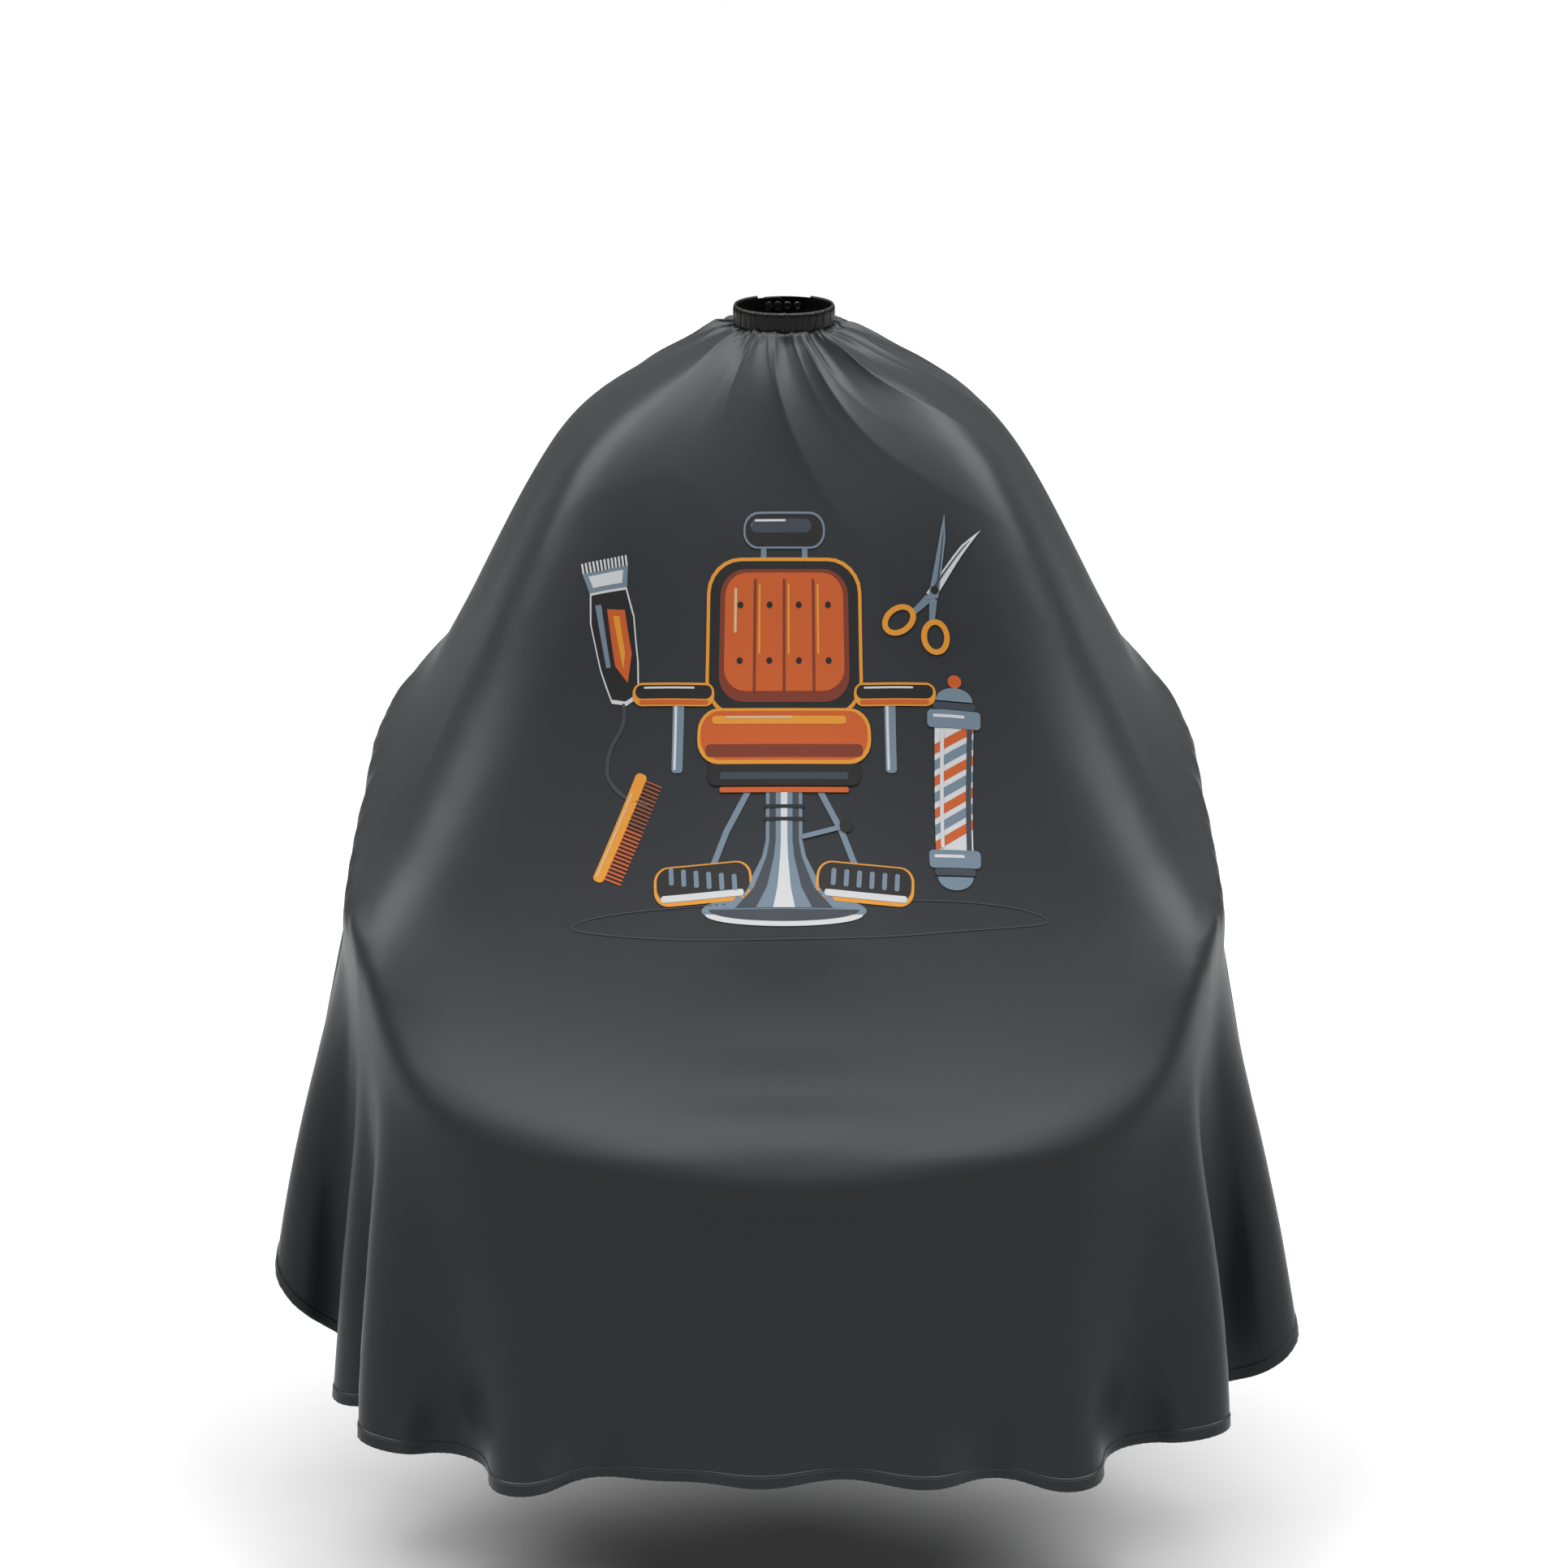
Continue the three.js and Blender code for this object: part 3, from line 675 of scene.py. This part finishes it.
def plate(x, y, width, height, corner, turn=0):
    """A rectangle with rounded corners."""
    found = []
    for sx, sy, begin in ((1, 1, 0), (-1, 1, 90), (-1, -1, 180), (1, -1, 270)):
        a = np.radians(begin + np.linspace(0, 90, 7))
        centre = np.array([sx * (width / 2 - corner), sy * (height / 2 - corner)])
        found.append(centre + corner * np.stack([np.cos(a), np.sin(a)], axis=1))
    return turned(np.concatenate(found), (x, y), turn)


def stroke(ink, layer, points, width, closed=False):
    points = np.asarray(points, float)
    if closed:
        points = np.concatenate([points, points[:1]])
    along = np.gradient(points, axis=0)
    if closed:
        along[0] = along[-1] = points[1] - points[-2]
    along /= np.linalg.norm(along, axis=1, keepdims=True)
    side = np.stack([-along[:, 1], along[:, 0]], axis=1) * width / 2
    left, right = points - side, points + side
    for k in range(len(points) - 1):
        draw(ink, layer, [left[k], left[k + 1], right[k + 1], right[k]])


def draw_chair():
    # back and headrest
    draw("amber", 0, plate(0, 0.098, 0.190, 0.178, 0.040))
    draw("black", 1, plate(0, 0.098, 0.182, 0.170, 0.037))
    draw("rust", 2, plate(0, 0.100, 0.158, 0.148, 0.030))
    draw("orange", 3, plate(0, 0.104, 0.146, 0.132, 0.026))
    for x in (-0.036, 0, 0.036):
        draw("rust", 4, plate(x, 0.100, 0.0034, 0.126, 0.0016))
        draw("amber", 4, plate(x + 0.0055, 0.118, 0.0026, 0.078, 0.0012))
    for x in (-0.054, -0.018, 0.018, 0.054):
        for y in (0.072, 0.134):
            draw("black", 5, ellipse(x, y, 0.0036, 0.0036, count=16))
    draw("cream", 4, plate(-0.060, 0.128, 0.0034, 0.050, 0.0016))
    for x in (-0.026, 0.026):
        draw("steel", 0, plate(x, 0.195, 0.007, 0.030, 0.002))
    draw("steel", 1, plate(0, 0.218, 0.104, 0.042, 0.019))
    draw("black", 2, plate(0, 0.218, 0.099, 0.037, 0.017))
    draw("shade", 3, plate(-0.004, 0.223, 0.078, 0.016, 0.008))
    draw("white", 4, plate(-0.018, 0.229, 0.040, 0.0026, 0.0012))
    # arms
    for s in (-1, 1):
        draw("steel", 0, plate(s * 0.126, -0.010, 0.013, 0.086, 0.004))
        draw("white", 1, plate(s * 0.126 - 0.003, -0.010, 0.003, 0.080, 0.001))
        draw("amber", 2, plate(s * 0.130, 0.034, 0.092, 0.026, 0.011))
        draw("black", 3, plate(s * 0.130, 0.037, 0.086, 0.015, 0.007))
        draw("orange", 3, plate(s * 0.130, 0.0255, 0.078, 0.005, 0.0022))
        draw("white", 4, plate(s * 0.130 - 0.006, 0.0415, 0.056, 0.0022, 0.001))
    # seat
    draw("amber", 5, plate(0, -0.012, 0.206, 0.062, 0.026))
    draw("orange", 6, plate(0, -0.011, 0.198, 0.054, 0.023))
    draw("amber", 7, plate(-0.006, 0.006, 0.160, 0.009, 0.004))
    draw("cream", 8, plate(-0.030, 0.009, 0.080, 0.0028, 0.0013))
    draw("rust", 7, plate(0, -0.028, 0.186, 0.014, 0.006))
    draw("black", 4, plate(0, -0.052, 0.178, 0.030, 0.010))
    draw("shade", 5, plate(0, -0.056, 0.150, 0.008, 0.003))
    draw("orange", 4, plate(0, -0.0715, 0.150, 0.006, 0.0025))
    # column and round base
    for ink, layer, scale in (("steel", 1, 1.0), ("shade", 2, 0.80), ("steel", 3, 0.46), ("white", 4, 0.18)):
        half = np.array([(0.021, -0.072), (0.021, -0.128), (0.025, -0.146), (0.042, -0.180), (0.068, -0.203)])
        half = half * (scale, 1)
        draw(ink, layer, np.concatenate([half, (half * (-1, 1))[::-1]]))
    draw("steel", 0, ellipse(0, -0.206, 0.092, 0.018))
    draw("white", 1, ellipse(0, -0.210, 0.088, 0.0135, start=180, end=359))
    draw("shade", 2, ellipse(0, -0.2045, 0.084, 0.0135, start=181, end=359))
    for y in (-0.090, -0.104):
        draw("black", 5, plate(0, y, 0.046, 0.004, 0.0015))
    draw("steel", 4, plate(0.045, -0.118, 0.052, 0.0055, 0.0025, 14))
    draw("black", 5, ellipse(0.071, -0.1115, 0.0075, 0.0075, count=24))
    # footrest with two treads
    for s in (-1, 1):
        stroke("steel", 0, [(s * 0.040, -0.070), (s * 0.066, -0.118), (s * 0.082, -0.160)], 0.007)
        draw("amber", 1, plate(s * 0.092, -0.176, 0.112, 0.044, 0.017, -s * 5))
        draw("black", 2, plate(s * 0.092, -0.174, 0.106, 0.037, 0.015, -s * 5))
        draw("white", 3, plate(s * 0.092, -0.1895, 0.094, 0.0075, 0.003, -s * 5))
        for k in range(6):
            x, y = s * 0.092 + (k - 2.5) * 0.0145, -0.1715 - 0.0013 * (k - 2.5)
            draw("steel", 3, plate(x, y, 0.0055, 0.019, 0.002, -s * 5))


def draw_clipper(x, y, turn):
    put = lambda points: turned(points, (x, y), turn)
    body = [
        (-0.020, 0.052), (0.020, 0.052), (0.024, 0.020), (0.020, -0.030), (0.014, -0.066),
        (0.0, -0.072), (-0.014, -0.066), (-0.020, -0.030), (-0.024, 0.020),
    ]
    draw("white", 0, put(np.array(body) * 1.07))
    draw("black", 1, put(body))
    panel = [(-0.004, 0.034), (0.016, 0.030), (0.016, -0.020), (0.006, -0.052), (-0.004, -0.030)]
    draw("orange", 2, put(panel))
    draw("amber", 3, put([(0.002, 0.026), (0.009, 0.024), (0.009, -0.018), (0.004, -0.036)]))
    draw("steel", 2, put([(-0.017, 0.040), (-0.010, 0.040), (-0.009, -0.030), (-0.014, -0.030)]))
    draw("steel", 1, put([(-0.022, 0.055), (0.022, 0.055), (0.026, 0.078), (-0.026, 0.078)]))
    draw("white", 2, put([(-0.017, 0.060), (0.017, 0.060), (0.020, 0.074), (-0.020, 0.074)]))
    for k in range(13):
        draw("white", 0, put(plate((k - 6) * 0.0041, 0.0835, 0.0022, 0.013, 0.0008)))
    cord = [
        (-0.002, -0.074), (-0.008, -0.098), (-0.026, -0.122),
        (-0.034, -0.150), (-0.020, -0.176), (0.004, -0.190),
    ]
    stroke("shade", 0, put(spline(np.array(cord), np.linspace(0, 5, 41))), 0.0042)


def draw_pole(x, y):
    low, high, half = y - 0.070, y + 0.070, 0.021
    draw("white", 0, plate(x, y, 0.042, 0.148, 0.002))
    pitch = 0.036
    for k in range(-1, 5):
        for ink, shift in (("orange", 0.0), ("steel", pitch / 2)):
            start = low + k * pitch + shift
            left, right = x - half, x + half
            corners = [(left, start), (right, start + 0.026), (right, start + 0.037), (left, start + 0.011)]
            if corners[0][1] > low - 0.004 and corners[2][1] < high + 0.006:
                draw(ink, 1, corners)
    draw("shade", 2, plate(x + 0.0165, y, 0.0055, 0.138, 0.001))
    draw("white", 3, plate(x - 0.0130, y, 0.0040, 0.132, 0.0015))
    for s in (-1, 1):
        end = y + s * 0.078
        draw("steel", 3, plate(x, end, 0.058, 0.020, 0.005))
        draw("white", 4, plate(x - 0.006, end + 0.003, 0.034, 0.0035, 0.0015))
        draw("shade", 3, plate(x, end + s * 0.0145, 0.046, 0.008, 0.003))
        begin = 0 if s > 0 else 180
        draw("steel", 2, ellipse(x, end + s * 0.020, 0.020, 0.015, start=begin, end=begin + 179.9))
    draw("orange", 2, ellipse(x, y + 0.120, 0.0075, 0.0075, count=24))


def draw_scissors(x, y, turn):
    for s in (-1, 1):
        put = lambda points, s=s: turned(turned(np.array(points) * (s, 1), (0, 0), s * 13), (x, y), turn)
        blade = [(-0.006, -0.012), (0.0055, -0.008), (0.004, 0.060), (-0.0015, 0.088)]
        draw("steel" if s > 0 else "white", 2 + (s > 0), put(blade))
        draw("shade", 4, put([(0.0015, 0.0), (0.0035, 0.004), (0.0015, 0.060), (0.0, 0.072)]))
        draw("steel", 2, put([(-0.0045, -0.010), (0.0045, -0.010), (0.006, -0.036), (0.000, -0.036)]))
        ring = ellipse(0.0100, -0.052, 0.0125, 0.0170, 12)
        stroke("amber", 3, put(ring), 0.0062, closed=True)
    draw("black", 5, ellipse(x, y, 0.0045, 0.0045, count=20))


def draw_comb(x, y, turn):
    put = lambda points: turned(points, (x, y), turn)
    draw("amber", 0, put(plate(0, 0.012, 0.128, 0.013, 0.005)))
    draw("cream", 1, put(plate(-0.01, 0.015, 0.100, 0.0022, 0.001)))
    for k in range(27):
        width = 0.0022 if k < 14 else 0.0012
        draw("orange", 0, put(plate(-0.058 + k * 0.00446, -0.004, width, 0.021, 0.0005)))


draw_chair()
draw_clipper(-0.196, 0.098, 10)
draw_pole(0.196, -0.070)
draw_scissors(0.176, 0.152, -24)
draw_comb(-0.178, -0.118, 68)
stroke("shade", 0, ellipse(0.03, -0.216, 0.268, 0.021, 1.5, 96), 0.0012, closed=True)


def on_cape(places, lift):
    """Points on the draped cloth over places of the flat cut, raised off it."""
    angle, radius = np.arctan2(places[:, 0], -places[:, 1]), np.hypot(places[:, 0], places[:, 1])
    column = np.interp(angle, angles, np.arange(COLUMNS + 1))
    reach = np.interp(column, np.arange(COLUMNS + 1), reaches)
    share = (radius - NECK_HOLE) / (reach - HEM - NECK_HOLE)
    i, j = column * FINE, np.clip(share, 0, 1) ** (1 / ROW_GROWTH) * SHEET_ROWS * FINE
    i0, j0 = np.floor(i).astype(int), np.floor(j).astype(int)
    u, v = (i - i0)[:, None], (j - j0)[:, None]
    mix = lambda grid: (
        (grid[i0, j0] * (1 - u) + grid[i0 + 1, j0] * u) * (1 - v)
        + (grid[i0, j0 + 1] * (1 - u) + grid[i0 + 1, j0 + 1] * u) * v
    )
    return mix(sheet_grid) + mix(sheet_normals) * lift[:, None]


def print_piece():
    """All ink shapes as thin layers that follow the cloth."""
    bm = bmesh.new()
    for ink, layer, outline in shapes:
        corners = [bm.verts.new((x, y, layer)) for x, y in outline]
        face = bm.faces.new(corners)
        face.material_index = ink
    bm.normal_update()
    for face in bm.faces:
        if face.normal.z < 0:
            face.normal_flip()
    bmesh.ops.triangulate(bm, faces=bm.faces[:])
    for axis, limit in ((0, 0.31), (1, 0.26)):
        for line in np.arange(-limit, limit, PRINT_CELL):
            point, normal = [0, 0, 0], [0, 0, 0]
            point[axis], normal[axis] = line, 1
            geometry = bm.verts[:] + bm.edges[:] + bm.faces[:]
            bmesh.ops.bisect_plane(bm, geom=geometry, dist=1e-6, plane_co=point, plane_no=normal)
    bmesh.ops.triangulate(bm, faces=[face for face in bm.faces if len(face.verts) > 4])
    mesh = bpy.data.meshes.new("chest_print")
    bm.to_mesh(mesh)
    bm.free()
    places = np.array([vertex.co for vertex in mesh.vertices])
    lift = PRINT_LIFT + PRINT_LAYER * places[:, 2]
    points = on_cape(places[:, :2] - (0, PRINT_FORWARD), lift)
    mesh.vertices.foreach_set("co", points.ravel())
    mesh.update()
    for ink, color in INKS.items():
        mesh.materials.append(material(f"ink_{ink}", color, 0.5, Specular_IOR_Level=0.25))
    mesh.polygons.foreach_set("use_smooth", [True] * len(mesh.polygons))
    made = bpy.data.objects.new("chest_print", mesh)
    bpy.context.scene.collection.objects.link(made)
    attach(made, "cape")
    return made


cloth_pieces.append(print_piece())

# ---- neckband -----------------------------------------------------------------------------------


def swept(name, angle_from, angle_to, stations, section, surface, body="cape"):
    """A closed section swept round the neck; section(angles) gives (outward, up) for each station."""
    along = np.linspace(angle_from, angle_to, stations)
    outward, up = section(along)
    points = tilt(neck_point(along[:, None] + 0 * outward, outward, up))
    return mesh_piece(name, points, loft_faces(*outward.shape), surface, body)


def band_run(along):
    return (along + math.pi) * (NECK_HALF_WIDTH + NECK_HALF_DEPTH) / 2


def band_section(along):
    """The gathered casing: puckers between two stitched edges, deeper outside than on the neck side."""
    rise = np.linspace(0, 1, 15)
    up = np.concatenate([rise, rise[::-1]]) * BAND_HEIGHT
    side = np.concatenate([np.ones(15), -np.ones(15)])
    run = band_run(along)
    widths = np.random.default_rng(4).uniform(0.0042, 0.0098, 80)
    edges = np.concatenate([[0], np.cumsum(widths)])
    heights = np.random.default_rng(5).uniform(0.45, 1.25, 80)
    lean = 0.0016 * wander(run, 0.013, 6)
    place = run[:, None] + lean[:, None] * (2 * up / BAND_HEIGHT - 1)
    fold = np.searchsorted(edges, place) - 1
    t = (place - edges[fold]) / widths[fold]
    crest = (4 * t * (1 - t)) ** 0.42 * heights[fold]
    stitched = np.clip(np.minimum(up - 0.0012, BAND_HEIGHT - 0.0012 - up) / 0.0035, 0, 1) ** 0.7
    ends = smooth(0, math.radians(5), BAND_END - math.radians(5) - np.abs(along))[:, None]
    height = np.where(side > 0, 0.0015, 0.0004) * crest * stitched * ends
    edge_round = np.where((up < 1e-6) | (up > BAND_HEIGHT - 1e-6), 0.55, 1.0)
    frill = 0.0006 * np.sin(2 * np.pi * run / 0.0071 + 2 * wander(run, 0.02, 9))[:, None]
    top = (up > 0.6 * BAND_HEIGHT) * frill * (up / BAND_HEIGHT) ** 3
    inner_limit = BAND_THICKNESS / 2 - 0.0003
    outward = side * (inner_limit * edge_round + height)
    return outward, np.broadcast_to(up, outward.shape) - np.abs(top)


neckband = swept("neckband_gathered", -BAND_END, BAND_END, 1100, band_section, band_satin)
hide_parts("neckband_casing")


def piping_section(along):
    turn = np.linspace(0, 2 * np.pi, 14, endpoint=False)
    run = band_run(along)
    swell = (1 + 0.10 * wander(run, 0.006, 14))[:, None]
    outward = BAND_THICKNESS / 2 + GAP + PIPING_RADIUS * (1 + swell * np.cos(turn))
    return outward, -PIPING_RADIUS + PIPING_RADIUS * swell * np.sin(turn)


piping = swept("seam_piping", -BAND_END, BAND_END, 700, piping_section, piping_gloss)
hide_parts("neck_piping")


NUDGE = 0.001  # a short way off a surface, to find which way it faces


def band_stitches(
    name, outward, up, thread, begin=-BAND_END, end=BAND_END, pitch=0.0042, length=0.0030,
    radius=0.0003, skip=0.0, body="cape", lean=(1.0, 0.0),
):
    """Stitches round the band at a place of its section; lean is the way they face, (out, up)."""
    along = np.linspace(begin, end, 900)
    path = tilt(neck_point(along, outward, up))
    off = tilt(neck_point(along, outward + NUDGE * lean[0], up + NUDGE * lean[1]))
    return stitches(name, path, (off - path) / NUDGE, pitch, length, radius, thread, skip, body)


half_band = BAND_THICKNESS / 2
band_stitches("band_stitching_top", half_band - 0.0001, BAND_HEIGHT - 0.0022, dark_thread)
band_stitches("band_stitching_bottom", half_band - 0.0001, 0.0022, dark_thread)
# real seam stitches under the piping, but painted pale and left out at random so they stand in for glints of
# light along the piping: painted highlight
band_stitches(
    "seam_stitching_painted_glints", half_band + GAP + 1.75 * PIPING_RADIUS, -0.30 * PIPING_RADIUS,
    pale_glint_thread,
    pitch=0.0066, length=0.0048, radius=0.00042, skip=0.34, lean=(0.8, 0.6),
)

# ---- closure: tabs and snaps --------------------------------------------------------------------

TAB_LOW = (BAND_HEIGHT - TAB_HEIGHT) / 2
CLOSURE_INNER = BAND_THICKNESS / 2 + GAP
STUD_TAB_INNER = -BAND_THICKNESS / 2


def tab_section(inner, tip):
    """A flat strap with turned edges, its corners rounded at the angle of its free end."""

    def section(along):
        corner = 0.006
        left = np.abs(along - tip) * (NECK_HALF_WIDTH + NECK_HALF_DEPTH) / 2
        cut = corner - np.sqrt(np.clip(corner**2 - np.clip(corner - left, 0, corner) ** 2, 0, None))
        half = TAB_HEIGHT / 2 - cut
        across = np.array([-1.0, -0.94, -0.84, -0.80, 0, 0.80, 0.84, 0.94, 1.0])
        thick = np.array([0.35, 0.5, 0.5, 0.40, 0.42, 0.40, 0.5, 0.5, 0.35])
        up = BAND_HEIGHT / 2 + half[:, None] * np.concatenate([across, across[::-1]])
        outward = inner + TAB_THICKNESS * (0.5 + np.concatenate([thick, -thick[::-1]]))
        return np.broadcast_to(outward, up.shape), up

    return section


closure = swept(
    "closure_strap", TAB_START, TAB_END, 150, tab_section(CLOSURE_INNER, TAB_END),
    band_satin, None,
)
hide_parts("closure_tab")
BLEND_FROM, BLEND_TO = math.radians(141), math.radians(149)
blend_line = [
    Vector(tilt(neck_point(angle, CLOSURE_INNER, BAND_HEIGHT / 2))) for angle in (BLEND_FROM, BLEND_TO)
]
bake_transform(closure)
stud_strap = swept(
    "stud_strap", STUD_TAB_START, STUD_TAB_END, 90, tab_section(STUD_TAB_INNER, STUD_TAB_START),
    band_satin,
)
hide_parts("stud_tab")
for label, up in (("top", TAB_LOW + TAB_HEIGHT - 0.0021), ("bottom", TAB_LOW + 0.0021)):
    outward = CLOSURE_INNER + TAB_THICKNESS * 0.95
    made = band_stitches(
        f"strap_stitching_{label}", outward, up, dark_thread,
        begin=TAB_START + 0.01, end=TAB_END - 0.07, body=None,
    )
    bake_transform(made)

# turned profiles of the snaps, (radius, height along their own axis) in millimetres
CAP_PROFILE = [
    (0, -1.7), (1.3, -1.7), (1.3, 0), (4.8, 0), (5.0, 0.12), (5.0, 0.34), (4.85, 0.5), (4.2, 0.78),
    (3.9, 0.74), (3.6, 0.80), (2.0, 0.88), (0, 0.9),
]
SOCKET_PROFILE = [
    (0, -0.4), (2.5, -0.4), (2.6, -0.5), (2.6, -1.3), (2.75, -1.4), (3.5, -1.4), (3.7, -1.2),
    (3.9, -0.9), (4.25, -0.8), (4.4, -0.65), (4.4, -0.1), (4.3, 0), (0, 0),
]
STUD_PROFILE = [
    (0, 0), (4.3, 0), (4.4, 0.1), (4.4, 0.3), (4.3, 0.4), (2.2, 0.4), (1.85, 0.55), (1.85, 0.8),
    (2.1, 1.05), (2.1, 1.2), (1.8, 1.38), (1.4, 1.4), (0, 1.4),
]
SNAP_TURNS = 36


def snap_piece(name, profile, angle, outward, replaced, body, flip=1):
    """A turned snap part on the band: its own axis points away from the neck."""
    centre = tilt(neck_point(angle, outward, BAND_HEIGHT / 2))
    axis = (tilt(neck_point(angle, outward + NUDGE, BAND_HEIGHT / 2)) - centre) / NUDGE
    up = tilt((0, 0, 1))
    side = np.cross(axis, up)
    turns = np.linspace(0, 2 * np.pi, SNAP_TURNS, endpoint=False)
    ring = np.outer(np.cos(turns), side) + np.outer(np.sin(turns), up)
    rings = []
    inner = profile[1:-1]
    for radius, height in inner:
        rings.append(centre + ring * radius / 1000 + axis * flip * height / 1000)
    poles = [centre + axis * flip * profile[k][1] / 1000 for k in (0, -1)]
    points = np.concatenate([*rings, [poles[0]], [poles[1]]])
    faces = loft_faces(len(inner), SNAP_TURNS, caps=False)
    last, base = len(points) - 2, (len(inner) - 1) * SNAP_TURNS
    faces += [(last, (k + 1) % SNAP_TURNS, k) for k in range(SNAP_TURNS)]
    faces += [(last + 1, base + k, base + (k + 1) % SNAP_TURNS) for k in range(SNAP_TURNS)]
    made = mesh_piece(name, points, faces, snap_gloss, body)
    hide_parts(replaced)


CLOSURE_OUTER = CLOSURE_INNER + TAB_THICKNESS + GAP
STUD_TAB_OUTER = STUD_TAB_INNER + TAB_THICKNESS + GAP
STUD_COUNT = 2
for number, angle in enumerate(SNAP_ANGLES, 1):
    cap, socket = f"socket_cap_{number}", f"snap_socket_{number}"
    snap_piece(f"button_cap_{number}", CAP_PROFILE, angle, CLOSURE_OUTER, cap, "closure")
    snap_piece(f"button_socket_{number}", SOCKET_PROFILE, angle, CLOSURE_INNER - GAP, socket, "closure")
for number, angle in enumerate(SNAP_ANGLES[:STUD_COUNT], 1):
    stud, cap = f"snap_stud_{number}", f"stud_cap_{number}"
    snap_piece(f"button_stud_{number}", STUD_PROFILE, angle, STUD_TAB_OUTER, stud, "cape")
    snap_piece(f"stud_button_{number}", CAP_PROFILE, angle, STUD_TAB_INNER - GAP, cap, "cape", -1)
bpy.data.objects["neck_elastic"].material_slots[0].material = knit

# ---- floor, camera, light -----------------------------------------------------------------------

FLOOR = -1.32
bpy.ops.mesh.primitive_plane_add(size=60, location=(0, 0, FLOOR))
floor = bpy.context.object
floor.name = "floor"
floor.data.materials.append(material("pale_floor", (0.36, 0.36, 0.36), 0.9, Specular_IOR_Level=0.1))

ROOM_LIGHT = 0.16  # how brightly the world lights the cape,
BACKDROP = 1.0  # and how bright the camera sees it, which is brighter, for a white background
world = bpy.data.worlds.new("studio")
bpy.context.scene.world = world
world.use_nodes = True
nodes, links = world.node_tree.nodes, world.node_tree.links
seen = nodes.new("ShaderNodeLightPath")
strength = nodes.new("ShaderNodeMapRange")
strength.inputs["To Min"].default_value = ROOM_LIGHT
strength.inputs["To Max"].default_value = BACKDROP
links.new(seen.outputs["Is Camera Ray"], strength.inputs["Value"])
links.new(strength.outputs["Result"], nodes["Background"].inputs["Strength"])
nodes["Background"].inputs["Color"].default_value = (1, 1, 1, 1)
bpy.context.scene.view_settings.view_transform = "Standard"


def overhead_light(name, place, strength, softness):
    data = bpy.data.lights.new(name, "SUN")
    data.energy, data.angle = strength, math.radians(softness)
    light = bpy.data.objects.new(name, data)
    light.rotation_euler = (-Vector(place)).to_track_quat("-Z", "Y").to_euler()
    bpy.context.scene.collection.objects.link(light)


overhead_light("softbox_above", (0.0, 0.02, 1.0), 4.4, 45)
overhead_light("softbox_left", (-0.62, -0.06, 0.90), 4.4, 40)
overhead_light("softbox_right", (0.62, -0.06, 0.90), 4.8, 40)

SENSOR_MM, LENS_MM = 36, 57.763977
CAMERA_PITCH = 77  # degrees from straight down
camera = bpy.data.objects.new("camera", bpy.data.cameras.new("camera"))
bpy.context.scene.collection.objects.link(camera)
bpy.context.scene.camera = camera
camera.location = (0, -2.92, 0.137)
camera.rotation_euler = (math.radians(CAMERA_PITCH), 0, 0)
camera.data.sensor_width = SENSOR_MM
camera.data.lens = LENS_MM
